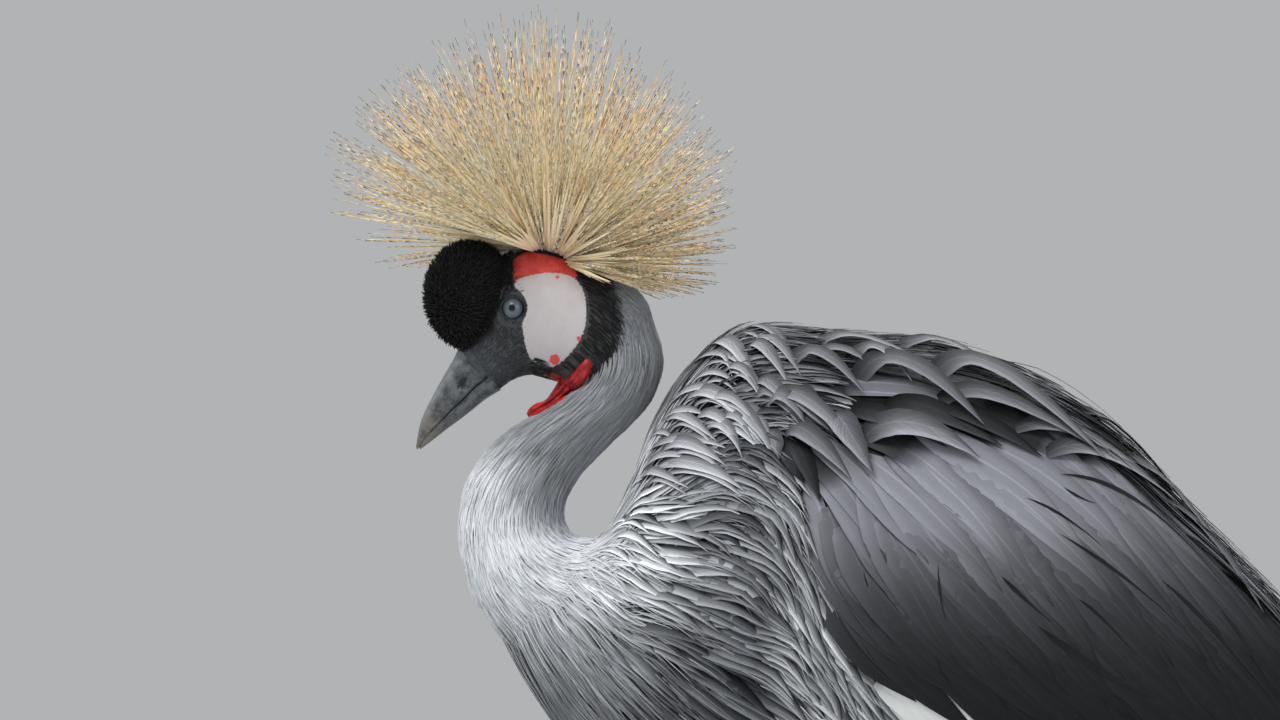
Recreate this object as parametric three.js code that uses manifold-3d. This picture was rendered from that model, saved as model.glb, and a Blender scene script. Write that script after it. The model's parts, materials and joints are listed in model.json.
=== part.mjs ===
// Grey crowned crane, standing at rest with its neck drawn in and its crest fanned out.
// Millimetres. The bird faces -Y, its left side is +X and the floor is Z = 0.

import * as THREE from "three";
import { mergeVertices } from "three/addons/utils/BufferGeometryUtils.js";
import Module from "manifold-3d";

const wasm = await Module();
wasm.setup();

// Side-view points below are laid out on a drawing sheet whose step is 0.54 mm.
const STEP = 0.54;
const SHEET_X = 960;
const SHEET_Y = 1547;
const GAP = 0.3;
const TRIM = 0.1;

const onY = (x) => (x - SHEET_X) * STEP;
const onZ = (y) => (SHEET_Y - y) * STEP;

// Finishes: colour, roughness
const FINISH = {
  down: [0x6f767c, 0.85],
  neck: [0xb4b7ba, 0.85],
  velvet: [0x0b0b0c, 0.95],
  horn: [0x3a3d40, 0.45],
  white_skin: [0xd9d2d0, 0.6],
  red_skin: [0xb83a38, 0.6],
  eye: [0x8fa0b0, 0.1],
  crest: [0xc9a45c, 0.7],
  slate: [0x4c5359, 0.8],
  white_feather: [0xe6e7e4, 0.8],
  gold_feather: [0xcfae62, 0.8],
  chestnut: [0x5a2a1c, 0.8],
  black_feather: [0x17181a, 0.8],
  leg: [0x23252a, 0.6],
};

// Stations: outer point, inner point on the sheet, half width in mm
const ENVELOPE = [
  [605, 533, 500, 634, 29],
  [618, 510, 540, 675, 37],
  [633, 478, 585, 703, 47],
  [654, 426, 635, 733, 60],
  [690, 375, 680, 757, 76],
  [745, 336, 730, 781, 90],
  [830, 322, 790, 802, 102],
  [930, 336, 855, 819, 110],
  [1025, 366, 925, 834, 112],
  [1115, 422, 1000, 846, 109],
  [1185, 494, 1080, 853, 101],
  [1250, 560, 1160, 858, 91],
  [1310, 628, 1240, 882, 80],
  [1370, 703, 1320, 938, 72],
  [1430, 787, 1400, 1000, 62],
  [1490, 886, 1475, 1040, 51],
  [1548, 985, 1545, 1068, 34],
  [1600, 1024, 1596, 1048, 8],
];

// The flesh under the folded wings, station for station with the envelope
const CORE = [
  [605, 533, 500, 634, 29],
  [618, 510, 540, 675, 37],
  [633, 478, 585, 703, 47],
  [654, 426, 635, 733, 60],
  [690, 375, 680, 757, 76],
  [745, 336, 730, 781, 90],
  [828, 342, 791, 801, 91],
  [922, 374, 857, 818, 87],
  [1008, 412, 927, 832, 87],
  [1092, 468, 1002, 842, 83],
  [1162, 538, 1081, 846, 76],
  [1224, 602, 1159, 842, 67],
  [1282, 668, 1234, 844, 56],
  [1345, 742, 1320, 905, 49],
  [1407, 822, 1398, 970, 42],
  [1468, 915, 1470, 1022, 34],
  [1533, 1006, 1538, 1056, 22],
  [1584, 1032, 1583, 1044, 3],
];
const TORSO_ROWS = [1, 2, 3, 4, 5, 6, 7, 8, 9, 10, 11, 12, 12.3];

const NECK = [
  [655, 326, 578, 389, 25],
  [663, 354, 570, 393, 25.5],
  [660, 379, 558, 400, 26],
  [649, 404, 543, 410, 26.5],
  [630, 425, 523, 421, 27],
  [608, 446, 500, 437, 27],
  [591, 463, 481, 458, 27],
  [576, 481, 466, 482, 26.5],
  [565, 503, 460, 508, 26],
  [565, 523, 458, 535, 26.5],
  [576, 536, 463, 563, 27.5],
  [590, 537, 474, 598, 28.5],
  [605, 533, 500, 634, 29],
];

const HEAD = [
  [655, 326, 578, 389, 25],
  [648, 303, 575, 387, 26],
  [628, 283, 569, 385, 26.5],
  [600, 264, 562, 381, 26],
  [565, 253, 552, 378, 25],
  [530, 248, 540, 375, 23.5],
  [503, 262, 529, 375, 21],
  [482, 283, 517, 378, 17.5],
  [468, 312, 505, 385, 13.5],
  [459, 347, 494, 394, 9.5],
];

// Culmen point, mouth point, half width
const BILL_UPPER = [
  [459, 347, 484, 380, 9],
  [454, 358, 474.5, 387.5, 8],
  [446, 372, 464, 398.5, 6.6],
  [437, 388, 452, 409.5, 5.3],
  [428, 405, 441, 421, 4.1],
  [421, 421, 430.5, 431.5, 3],
  [417.3, 438, 422.5, 441, 1.9],
  [416, 448, 417.8, 449.4, 0.9],
];

const BILL_LOWER = [
  [494, 394, 484, 380, 8.2],
  [484, 400.5, 474.5, 387.5, 7],
  [473, 409.5, 464, 398.5, 5.8],
  [460, 419.5, 452, 409.5, 4.6],
  [447, 429, 441, 421, 3.5],
  [435.5, 438, 430.5, 431.5, 2.5],
  [426, 445.2, 422.5, 441, 1.6],
  [420.4, 449.2, 418.6, 447.4, 0.8],
];

const WATTLE = [
  [592, 362, 566, 374, 4],
  [588, 372, 559, 382, 6.5],
  [578, 387, 551, 392, 7],
  [562, 398, 544, 400, 6],
  [545, 409, 535, 409, 4],
  [531, 417, 528, 414, 1.4],
];

const WHITE_CHEEK = [
  [513, 280], [541.6, 272.6], [562.6, 273.6], [575, 277.4], [583, 291], [585.6, 306],
  [584.6, 327], [576, 344.4], [562.6, 361.6], [547.3, 368.3], [534, 362.5], [530, 352],
  [526.5, 336], [527.4, 321.5], [532, 313], [532, 304], [527.4, 295.6], [519.5, 291.4],
];
const MOUTH_LINE = [
  [486, 376.6], [498, 367.6], [513, 356.2], [525, 350.4], [525, 351.8], [513.4, 358], [499, 369.4], [487, 378.4],
];

const RED_CHEEK = [
  [514.8, 277.6], [512.9, 247], [519, 242], [534, 244], [546, 246],
  [560, 250], [570, 262], [576, 275.5], [562.6, 272], [541.6, 271],
];

const EYE = { x: 514.8, y: 308.6, radius: 7.6, centre: 14.6 };
const CAP = { x: 470, y: 296, long: 29.5, short: 24.5, half: 21, tilt: 0.12, back: 513 };

// Crest reach: angle above the tail direction in degrees, length in mm
const CREST_ROOT = { x: 550, y: 262 };
const CREST_REACH = [
  [-26, 60], [-20, 79], [-6, 94], [17, 105], [27, 114], [46, 117], [64, 124],
  [80, 130], [97, 133], [123, 128], [147, 132], [166, 126], [175, 108], [186, 90], [192, 60],
];
const CREST_SPREAD = 60;
const CREST_DETAIL = 4;
const CREST_CORE = new THREE.Vector3(17, 21, 16);

// Folded wing tiers, as shares of the depth between flesh and envelope.
// deep: a plate reaches down to the flesh before this place and above this angle.
// Rows of vanes: root place, step to the tip, shortening of each next vane, lift of the tip in mm,
// greatest width, angle of the highest root, step in angle, number.
const TIERS = {
  wing_primaries: {
    band: [0, 0.07], from: 10.05, to: 12.4, top: 62, deep: [0, 0], finish: "black_feather",
    edge: [[10, 124], [12.4, 124]],
    rows: [
      { at: 11.4, run: 5.5, less: 0.3, turn: -8, lift: 0.2, width: 26, first: 74, step: 15, count: 4 },
    ],
  },
  wing_secondaries: {
    band: [0.17, 0.24], from: 8.5, to: 12, top: 12, deep: [9.2, 200], finish: "chestnut",
    edge: [[8.5, 116], [10, 120], [12, 112]],
    rows: [
      { at: 10.9, run: 5.5, less: 0.22, turn: -3, lift: 0.3, width: 34, first: 16, step: 18, count: 5 },
      { at: 10.3, run: 4.1, less: 0.4, turn: 6, lift: 0.3, width: 28, first: 106, step: 13, count: 2 },
    ],
  },
  wing_gold: {
    band: [0.34, 0.41], from: 8.2, to: 10.6, top: 80, deep: [0, 0], finish: "gold_feather",
    edge: [[8.2, 130], [9.5, 134], [10.6, 128]],
    rows: [
      { at: 9.8, run: 3.3, less: 0.12, turn: 14, lift: 0.4, width: 14, first: 90, step: 9, count: 5 },
    ],
  },
  wing_coverts: {
    band: [0.5, 0.57], from: 6.2, to: 10.2, top: 62, deep: [7.5, 200], finish: "white_feather",
    edge: [[6.2, 96], [7, 116], [8, 132], [9.2, 132], [10.2, 118]],
    rows: [
      { at: 9.3, run: 2, less: 0, turn: 10, lift: 0.4, width: 28, first: 86, step: 14, count: 4 },
      { at: 8.1, run: 1.9, less: 0, turn: 11, lift: 1.4, width: 28, first: 117, step: 14, count: 2 },
      { at: 7, run: 1.8, less: 0, turn: 13, lift: 1.4, width: 28, first: 100, step: 15, count: 2 },
    ],
  },
  scapulars: {
    band: [0.68, 0.76], from: 5.45, to: 11.2, top: 4, deep: [7.5, 40], finish: "slate",
    edge: [[5.45, 68], [6, 78], [7, 97], [8, 106], [9.3, 106], [10.5, 96], [11.2, 84]],
    rows: [
      { at: 10, run: 3.1, less: 0.1, turn: 4, lift: 2.6, width: 34, first: 12, step: 20, count: 4 },
      { at: 8.6, run: 2.6, less: 0, turn: 12, lift: 3, width: 32, first: 18, step: 18, count: 6 },
      { at: 7.2, run: 2.4, less: 0, turn: 13, lift: 3.6, width: 32, first: 10, step: 18, count: 6 },
      { at: 5.9, run: 2.2, less: 0, turn: 15, lift: 4.4, width: 34, first: 12, step: 19, count: 4 },
    ],
  },
};
const VANE_SHARES = [0, 0.3, 0.7, 1];
const VANE_FILL = [0.75, 1.02, 1, 0.1];
const VANE_THICK = 0.9;
const VANE_TILT = 1.3;
const HACKLE_SHARES = [0, 0.42, 1];
const HACKLE_WIDTHS = [0.7, 1, 0.14];

// Breast and mantle hackles: root place, step, turn, width, lift and root angles
const HACKLES = [
  { at: 4.3, run: 1.4, turn: 2, width: 26, lift: 4.5, angles: [20, 46, 72, 98, 123, 148] },
  { at: 3.2, run: 1.6, turn: 2, width: 23, lift: 5, angles: [14, 40, 66, 92, 118, 146] },
  { at: 2.1, run: 1.7, turn: 1, width: 20, lift: 5, angles: [26, 56, 86, 116, 148] },
  { at: 1, run: 1.7, turn: 0, width: 18, lift: 4.5, angles: [44, 80, 116, 152] },
  { at: 0.25, run: 1.5, turn: 0, width: 16, lift: 4, angles: [60, 104, 146] },
];
const HACKLE_MIDLINE = [[4.4, 0], [3.4, 180], [1.7, 180], [5.4, 180], [6.6, 180]];

const TAIL = [
  [1268, 770, 1238, 842, 33],
  [1330, 838, 1308, 886, 31],
  [1400, 914, 1388, 947, 28],
  [1480, 994, 1473, 1016, 25],
  [1552, 1060, 1549, 1071, 20],
];

const smooth = THREE.MathUtils.smoothstep;
const lerp = THREE.MathUtils.lerp;
const radians = THREE.MathUtils.degToRad;

// Value at x along a table of pairs, in straight steps
function table(pairs, x) {
  if (x <= pairs[0][0]) return pairs[0][1];
  for (let i = 1; i < pairs.length; i += 1) {
    if (x <= pairs[i][0]) {
      const share = (x - pairs[i - 1][0]) / (pairs[i][0] - pairs[i - 1][0]);
      return lerp(pairs[i - 1][1], pairs[i][1], share);
    }
  }
  return pairs[pairs.length - 1][1];
}

// Closed surface from points and triangles, turned to face outwards
function closed(points, faces) {
  let volume = 0;
  for (const [a, b, c] of faces) {
    volume += points[a].dot(points[b].clone().cross(points[c]));
  }
  const index = volume < 0 ? faces.map(([a, b, c]) => [a, c, b]) : faces;
  const geometry = new THREE.BufferGeometry().setFromPoints(points);
  geometry.setIndex(index.flat());
  return solid(geometry);
}

function solid(geometry) {
  const bare = new THREE.BufferGeometry();
  bare.setAttribute("position", geometry.getAttribute("position"));
  bare.setIndex(geometry.getIndex());
  const merged = mergeVertices(bare, 1e-4);
  const index = [];
  const source = merged.index.array;
  for (let i = 0; i < source.length; i += 3) {
    const [a, b, c] = [source[i], source[i + 1], source[i + 2]];
    if (a !== b && b !== c && c !== a) index.push(a, b, c);
  }
  return new wasm.Manifold(
    new wasm.Mesh({
      numProp: 3,
      vertProperties: new Float32Array(merged.attributes.position.array),
      triVerts: new Uint32Array(index),
    }),
  );
}

function largest(body) {
  const pieces = body.decompose();
  return pieces.reduce((best, piece) => (piece.volume() > best.volume() ? piece : best));
}

// Skin over a row of rings, closed at both ends by a fan
function loft(rings) {
  const count = rings[0].length;
  const points = rings.flat();
  const faces = [];
  for (let i = 0; i + 1 < rings.length; i += 1) {
    for (let j = 0; j < count; j += 1) {
      const k = (j + 1) % count;
      const a = i * count + j;
      const b = i * count + k;
      if (j < count / 2) faces.push([a, b, b + count], [a, b + count, a + count]);
      else faces.push([a, b, a + count], [b, b + count, a + count]);
    }
  }
  for (const [ring, base, flip] of [
    [rings[0], 0, true],
    [rings[rings.length - 1], (rings.length - 1) * count, false],
  ]) {
    if (count < 5) {
      for (let j = 1; j + 1 < count; j += 1) {
        faces.push(flip ? [base, base + j + 1, base + j] : [base, base + j, base + j + 1]);
      }
      continue;
    }
    const middle = new THREE.Vector3();
    ring.forEach((point) => middle.add(point));
    points.push(middle.divideScalar(count));
    for (let j = 0; j < count; j += 1) {
      const k = (j + 1) % count;
      const [a, b] = flip ? [base + k, base + j] : [base + j, base + k];
      faces.push([a, b, points.length - 1]);
    }
  }
  return closed(points, faces);
}

function curve(a, b, c, d, t) {
  const u = t * t;
  return 0.5 * (2 * b + (c - a) * t + (2 * a - 5 * b + 4 * c - d) * u + (3 * b - a - 3 * c + d) * u * t);
}

// Station at any place along a list
function station(list, t) {
  const last = list.length - 1;
  const i = Math.min(Math.max(Math.floor(t), 0), last - 1);
  const pick = (k) => list[Math.min(Math.max(k, 0), last)];
  const [a, b, c, d] = [pick(i - 1), pick(i), pick(i + 1), pick(i + 2)];
  const value = b.map((_, n) => curve(a[n], b[n], c[n], d[n], t - i));
  const outer = new THREE.Vector3(0, onY(value[0]), onZ(value[1]));
  const inner = new THREE.Vector3(0, onY(value[2]), onZ(value[3]));
  return { outer, inner, width: value[4] };
}

// Point on a station's section: 0 degrees is the outer end, 90 the left side
function sectionPoint({ outer, inner, width }, degrees, grow = 0) {
  const angle = radians(degrees);
  const chord = outer.clone().sub(inner);
  const half = chord.length() / 2 + grow;
  const point = outer.clone().add(inner).multiplyScalar(0.5);
  point.addScaledVector(chord.normalize(), half * Math.cos(angle));
  point.x += (width + grow) * Math.sin(angle);
  return point;
}

function ring(list, t, count, grow = 0) {
  const at = station(list, t);
  return Array.from({ length: count }, (_, j) => sectionPoint(at, (360 * j) / count, grow));
}

function steps(from, to, count) {
  return Array.from({ length: count + 1 }, (_, i) => lerp(from, to, i / count));
}

function tube(list, from, to, rows, count, grow = 0) {
  return loft(steps(from, to, rows).map((t) => ring(list, t, count, grow)));
}

// Plane through a station, shifted along the list's direction
function planeAt(list, t, shift) {
  const { outer, inner } = station(list, t);
  const chord = outer.clone().sub(inner).normalize();
  const normal = new THREE.Vector3(0, chord.z, -chord.y);
  const ahead = station(list, t + 0.2);
  const behind = station(list, t - 0.2);
  const along = ahead.outer.clone().add(ahead.inner).sub(behind.outer).sub(behind.inner);
  if (along.dot(normal) < 0) normal.negate();
  return { normal, offset: normal.dot(outer) + shift };
}

// Keep what lies ahead of the plane, or behind it
function cutAhead(body, { normal, offset }) {
  return body.trimByPlane(normal.toArray(), offset);
}

function cutBehind(body, { normal, offset }) {
  return body.trimByPlane(normal.clone().negate().toArray(), -offset);
}

// Right prism over a side-view outline, from one X to another
function prism(outline, low, high, grow = 0) {
  const points = outline.map(([x, y]) => new THREE.Vector2(onY(x), onZ(y)));
  const shape = new THREE.Shape(grow ? spread(points, grow) : points);
  const depth = high - low;
  const geometry = new THREE.ExtrudeGeometry(shape, { depth, bevelEnabled: false });
  const frame = new THREE.Matrix4().makeBasis(
    new THREE.Vector3(0, 1, 0), new THREE.Vector3(0, 0, 1), new THREE.Vector3(1, 0, 0),
  );
  geometry.applyMatrix4(frame).translate(low, 0, 0);
  return solid(mergeVertices(geometry.deleteAttribute("uv").deleteAttribute("normal"), 1e-4));
}

// Outline moved outwards by a distance
function spread(points, distance) {
  const turn = THREE.ShapeUtils.area(points) > 0 ? 1 : -1;
  return points.map((point, i) => {
    const before = points[(i + points.length - 1) % points.length];
    const after = points[(i + 1) % points.length];
    const a = point.clone().sub(before).normalize();
    const b = after.clone().sub(point).normalize();
    const na = new THREE.Vector2(a.y * turn, -a.x * turn);
    const nb = new THREE.Vector2(b.y * turn, -b.x * turn);
    const push = na.clone().add(nb).divideScalar(1 + na.dot(nb));
    return point.clone().addScaledVector(push, distance);
  });
}

function ball(x, y, z, radius, columns = 20, rows = 14) {
  const geometry = new THREE.SphereGeometry(radius, columns, rows).rotateZ(Math.PI / 2);
  return solid(geometry.translate(x, y, z));
}

function mirrored(body) {
  return body.mirror([1, 0, 0]);
}

// Point in the folded wing: place along the body, angle, height over the flesh in mm
function wingPoint(t, degrees, height) {
  const inside = sectionPoint(station(CORE, t), degrees);
  const way = sectionPoint(station(ENVELOPE, t), degrees).sub(inside);
  if (way.length() < 2) way.copy(sectionPoint(station(CORE, t), degrees, 1)).sub(inside);
  return inside.addScaledVector(way.normalize(), height);
}

function wingDepth(t, degrees) {
  const inside = sectionPoint(station(CORE, t), degrees);
  return inside.distanceTo(sectionPoint(station(ENVELOPE, t), degrees));
}

// Bands close up towards the front of the wing, where only the top tier is left
function bandShare(t, share) {
  return share >= 1 ? 1 : share * smooth(t, 5.3, 7.2);
}

// Plate of one tier between two shares of the wing's depth, on the flesh's own grid
function plate(tier, grow = 0) {
  const [low, high] = tier.band;
  const low_side = [];
  const high_side = [];
  const rows = [tier.from - grow / 30];
  for (let t = Math.ceil(tier.from + 0.1); t < tier.to - 0.1; t += 1) rows.push(t);
  rows.push(tier.to + grow / 30);
  const columns = steps(0, 144, 8);
  for (const t of rows) {
    const bottom = table(tier.edge, t) + grow / 1.2;
    const top = Math.max(tier.top - grow / 1.2, 0.5);
    for (const column of [...columns, 180]) {
      const degrees = THREE.MathUtils.clamp(column, top, bottom);
      const depth = wingDepth(t, degrees);
      const deep = t < tier.deep[0] && degrees < tier.deep[1];
      const inner = (deep ? 0 : bandShare(t, low) * depth) + GAP;
      const outer = Math.max(bandShare(t, high) * depth, bandShare(t, low) * depth + GAP + 0.8);
      low_side.push(wingPoint(t, degrees, inner - grow));
      high_side.push(wingPoint(t, degrees, outer + grow));
    }
  }
  return sheet(low_side, high_side, rows.length, columns.length + 1);
}

// Flat tapered blade on a surface, through places [t, degrees, greatest width, height, width in degrees]
function vane(surface, places, tilt, grow = 0) {
  const rings = places.map(([t, degrees, width, height, fill = 99], i) => {
    const before = places[Math.max(i - 1, 0)];
    const after = places[Math.min(i + 1, places.length - 1)];
    const here = surface(t, degrees, height);
    const alongT = surface(t + 0.05, degrees, height).sub(here).divideScalar(0.05);
    const alongD = surface(t, degrees + 1, height).sub(here);
    const run = alongT.clone().multiplyScalar(after[0] - before[0]);
    run.addScaledVector(alongD, after[1] - before[1]).normalize();
    const up = alongD.clone().cross(alongT).normalize();
    const across = run.clone().cross(up);
    const [a, b, c] = [alongT.lengthSq(), alongT.dot(alongD), alongD.lengthSq()];
    const [p, q] = [across.dot(alongT), across.dot(alongD)];
    const det = a * c - b * b;
    const half = Math.min(width, fill * alongD.length()) / 2 + grow;
    const stepT = (half * (p * c - q * b)) / det;
    const stepD = (half * (q * a - p * b)) / det;
    const corner = (side, lift) => {
      const raised = height + lift + (side > 0 ? tilt : 0);
      return surface(t + side * stepT, degrees + side * stepD, raised);
    };
    const top = VANE_THICK + grow;
    const ends = (i === places.length - 1 ? grow : 0) - (i === 0 ? grow : 0);
    const corners = [corner(-1, -grow), corner(1, -grow), corner(1, top), corner(-1, top)];
    return corners.map((point) => point.addScaledVector(run, ends));
  });
  return loft(rings);
}

// Vanes of a tier's rows, rooted in its plate
function tierVanes(tier, grow = 0) {
  const made = [];
  for (const row of tier.rows) {
    for (let i = 0; i < row.count; i += 1) {
      const places = VANE_SHARES.map((share, k) => {
        const t = row.at + (row.run - row.less * i) * share;
        const degrees = row.first + row.step * i + row.turn * share;
        const base = bandShare(t, tier.band[1]) * wingDepth(t, degrees);
        const lift = lerp(-1.2, row.lift, Math.min(share * 1.6, 1));
        const width = k === 3 ? 3 : row.width * Math.min(VANE_FILL[k], 1);
        return [t, degrees, width, Math.max(base + lift, GAP + 0.5), row.step * VANE_FILL[k]];
      });
      made.push(vane(wingPoint, places, VANE_TILT, grow));
    }
  }
  return made;
}

function fleshPoint(t, degrees, height) {
  return sectionPoint(station(CORE, t), degrees, height);
}

// One hackle: sunk at the root, bending away from the body towards its tip
function hackle(row, angle, tilt) {
  const places = HACKLE_SHARES.map((share, k) => {
    const height = lerp(-1.6, row.lift, share * share * 0.6 + share * 0.4);
    return [row.at + row.run * share, angle + row.turn * share, row.width * HACKLE_WIDTHS[k], height];
  });
  return vane(fleshPoint, places, tilt);
}

// Closed slab between two grids of points
function sheet(low_side, high_side, rows, columns) {
  const points = [...low_side, ...high_side];
  const shift = low_side.length;
  const faces = [];
  for (let i = 0; i + 1 < rows; i += 1) {
    for (let j = 0; j + 1 < columns; j += 1) {
      const a = i * columns + j;
      const [b, c, d] = [a + 1, a + columns + 1, a + columns];
      faces.push([a, b, c], [a, c, d]);
      faces.push([a + shift, c + shift, b + shift], [a + shift, d + shift, c + shift]);
    }
  }
  const rim = [];
  for (let j = 0; j < columns; j += 1) rim.push(j);
  for (let i = 1; i < rows; i += 1) rim.push(i * columns + columns - 1);
  for (let j = columns - 2; j >= 0; j -= 1) rim.push((rows - 1) * columns + j);
  for (let i = rows - 2; i >= 1; i -= 1) rim.push(i * columns);
  rim.forEach((a, i) => {
    const b = rim[(i + 1) % rim.length];
    faces.push([a, a + shift, b + shift], [a, b + shift, b]);
  });
  return closed(points, faces);
}

// Head, its pockets and what sits in them
function buildHead() {
  const rows = steps(0, 9, 11);
  const tubeOf = (grow) => loft([grow > 0 ? -0.05 : 0, ...rows.slice(1)].map((t) => ring(HEAD, t, 14, grow)));
  const bare = cutBehind(tubeOf(0), planeAt(HEAD, 8.99, -GAP / 2));
  const grown = tubeOf(GAP);
  const place = [EYE.centre, onY(EYE.x), onZ(EYE.y)];
  const eye = ball(...place, EYE.radius, 10, 8);
  const socket = ball(...place, EYE.radius + GAP, 10, 8);
  const lid = new THREE.TorusGeometry(6.9, 1.1, 5, 12).rotateY(Math.PI / 2).rotateZ(-0.12);
  const rim = solid(lid.translate(EYE.centre + 4.4, place[1], place[2])).subtract(socket);
  const white = bare.intersect(prism(WHITE_CHEEK, 12, 40)).subtract(socket);
  const red = bare.intersect(prism(RED_CHEEK, 12, 40)).subtract(prism(WHITE_CHEEK, 0, 50, GAP));
  const groove = prism(MOUTH_LINE, -40, 40).subtract(tubeOf(-1.1));
  let skull = cutAhead(bare, planeAt(HEAD, 0.01, GAP / 2)).subtract(groove);
  for (const cut of [prism(WHITE_CHEEK, 12 - GAP, 50, GAP), prism(RED_CHEEK, 12 - GAP, 50, GAP)]) {
    skull = skull.subtract(cut).subtract(mirrored(cut));
  }
  skull = skull.add(rim).add(mirrored(rim)).subtract(socket).subtract(mirrored(socket));
  const clear = grown.add(rim).add(mirrored(rim));
  return { skull, grown: clear, eye, white: largest(white), red: largest(red) };
}

function buildBill(list, from, flip, grow = 0) {
  const rings = steps(from, 7, 8).map((t) => {
    const { outer, inner, width } = station(list, t);
    const chord = outer.clone().sub(inner);
    const length = chord.length();
    chord.normalize();
    const mouth = inner.clone().addScaledVector(chord, Math.min(GAP / 2, length / 4) - grow);
    return steps(-90, 90, 6).map((degrees) => {
      const point = mouth.clone().addScaledVector(chord, (length + 2 * grow) * Math.cos(radians(degrees)));
      point.x += (width + grow) * Math.sin(radians(degrees));
      return point;
    });
  });
  return loft(flip ? rings.map((each) => each.slice().reverse()) : rings);
}

function capBall(grow = 0) {
  const geometry = new THREE.SphereGeometry(1, 16, 10).rotateZ(Math.PI / 2);
  geometry.scale(CAP.half + grow, CAP.short + grow, CAP.long + grow).rotateX(CAP.tilt);
  return solid(geometry.translate(0, onY(CAP.x), onZ(CAP.y)));
}

function buildCap(room) {
  const body = capBall().trimByPlane([0, -1, 0], GAP / 2 - onY(CAP.back));
  return largest(body.subtract(room));
}

// Crest: a small core on the crown and one tapering spine for each direction
function crestReach(way) {
  const lean = Math.abs(THREE.MathUtils.radToDeg(Math.asin(way.x)));
  let angle = THREE.MathUtils.radToDeg(Math.atan2(way.z, way.y));
  if (angle < -90) angle += 360;
  const low = lean < 24 ? -12 : -24;
  const high = lean < 24 ? 163 : 188;
  if (lean > CREST_SPREAD || angle < low || angle > high) return 0;
  return table(CREST_REACH, angle) * (1 - 0.12 * (lean / CREST_SPREAD) ** 2);
}

// Facets of a ball, each drawn out to a spine where the crest has one
function buildCrest() {
  const root = new THREE.Vector3(0, onY(CREST_ROOT.x), onZ(CREST_ROOT.y));
  const shape = new THREE.IcosahedronGeometry(1, CREST_DETAIL);
  const merged = mergeVertices(new THREE.BufferGeometry().setAttribute("position", shape.getAttribute("position")));
  const position = merged.getAttribute("position");
  const ways = [];
  for (let i = 0; i < position.count; i += 1) {
    ways.push(new THREE.Vector3().fromBufferAttribute(position, i).normalize());
  }
  const points = ways.map((way) => way.clone().multiply(CREST_CORE).add(root));
  const faces = [];
  const index = merged.index.array;
  for (let i = 0; i < index.length; i += 3) {
    const corners = [index[i], index[i + 1], index[i + 2]];
    const way = new THREE.Vector3();
    corners.forEach((corner) => way.add(ways[corner]));
    way.normalize();
    const reach = crestReach(way);
    if (!reach) {
      faces.push(corners);
      continue;
    }
    const side = new THREE.Vector3().subVectors(ways[corners[1]], ways[corners[0]]).normalize();
    const bend = 1.5 * Math.sin(i * 5);
    const middle = root.clone().addScaledVector(way, reach * 0.36).addScaledVector(side, bend);
    const base = points.length;
    for (const corner of corners) {
      const out = ways[corner].clone().addScaledVector(way, -ways[corner].dot(way)).normalize();
      points.push(middle.clone().addScaledVector(out, 1.3));
    }
    points.push(root.clone().addScaledVector(way, reach * (0.94 + 0.06 * Math.cos(i * 7))));
    for (let j = 0; j < 3; j += 1) {
      const k = (j + 1) % 3;
      faces.push([corners[j], corners[k], base + k], [corners[j], base + k, base + j]);
      faces.push([base + j, base + k, base + 3]);
    }
  }
  return closed(points, faces);
}

// Row of round sections through given places: [x, y, z, radius across, radius fore and aft]
function limb(places, count) {
  const rings = places.map(([x, y, z, across, deep], i) => {
    const before = places[Math.max(i - 1, 0)];
    const after = places[Math.min(i + 1, places.length - 1)];
    const way = new THREE.Vector3(after[0] - before[0], after[1] - before[1], after[2] - before[2]);
    way.normalize();
    const side = new THREE.Vector3(1, 0, 0).addScaledVector(way, -way.x).normalize();
    const fore = new THREE.Vector3().crossVectors(way, side);
    return Array.from({ length: count }, (_, j) => {
      const angle = (2 * Math.PI * j) / count;
      return new THREE.Vector3(x, y, z)
        .addScaledVector(side, across * Math.cos(angle))
        .addScaledVector(fore, deep * Math.sin(angle));
    });
  });
  return loft(rings);
}

const LEG_X = 38;
const THIGH = [
  [36, -14, 430, 21, 38], [36, -12, 400, 21, 35], [37, -8, 370, 19, 28],
  [37.5, -3, 340, 14, 19], [38, 1, 312, 10, 12.5], [38, 3, 296, 7.5, 9],
];
const TIBIA = [
  [38, 3.1, 295.6, 5.6, 6.4], [38, 7, 270, 5.2, 6], [38, 12, 240, 5.4, 6.4],
  [38, 15.5, 222, 7, 9], [38, 17, 211, 8, 10.5],
];
const TARSUS = [
  [38, 17.3, 208.6, 8.2, 10.6], [38, 17, 198, 7, 8.8], [38, 15.5, 184, 5.2, 6.4],
  [38, 12, 140, 4.9, 5.8], [38, 8, 90, 4.9, 5.8], [38, 4, 45, 5.2, 6.2], [38, 2.4, 27, 6.4, 7.4],
];
const SCUTES = 12;

// Tarsus with a stack of raised plates down its front
function buildTarsus() {
  const rings = [TARSUS[0], TARSUS[1]];
  const at = (z) => {
    const i = TARSUS.findIndex((entry, k) => k > 0 && entry[2] <= z);
    const [above, below] = [TARSUS[i - 1], TARSUS[i]];
    return above.map((value, n) => lerp(value, below[n], (above[2] - z) / (above[2] - below[2])));
  };
  for (let i = 0; i < SCUTES; i += 1) {
    const top = 188 - i * 13;
    for (const [z, out] of [[top, 1], [top - 12.4, 0.2]]) {
      const [x, y, , across, deep] = at(z);
      rings.push([x, y - out, z, across + out * 0.4, deep + out * 0.6]);
    }
  }
  rings.push(TARSUS[TARSUS.length - 1]);
  return limb(rings, 7);
}
// Toes: heading in degrees outwards from straight ahead, length, claw length
const TOES = {
  middle: { heading: 2, length: 96, claw: 15, base: 7.2 },
  inner: { heading: -21, length: 70, claw: 13, base: 6.4 },
  outer: { heading: 33, length: 78, claw: 14, base: 6.6 },
  hind: { heading: 172, length: 27, claw: 12, base: 5 },
};
const FOOT = { y: 0, z: 12 };

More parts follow.
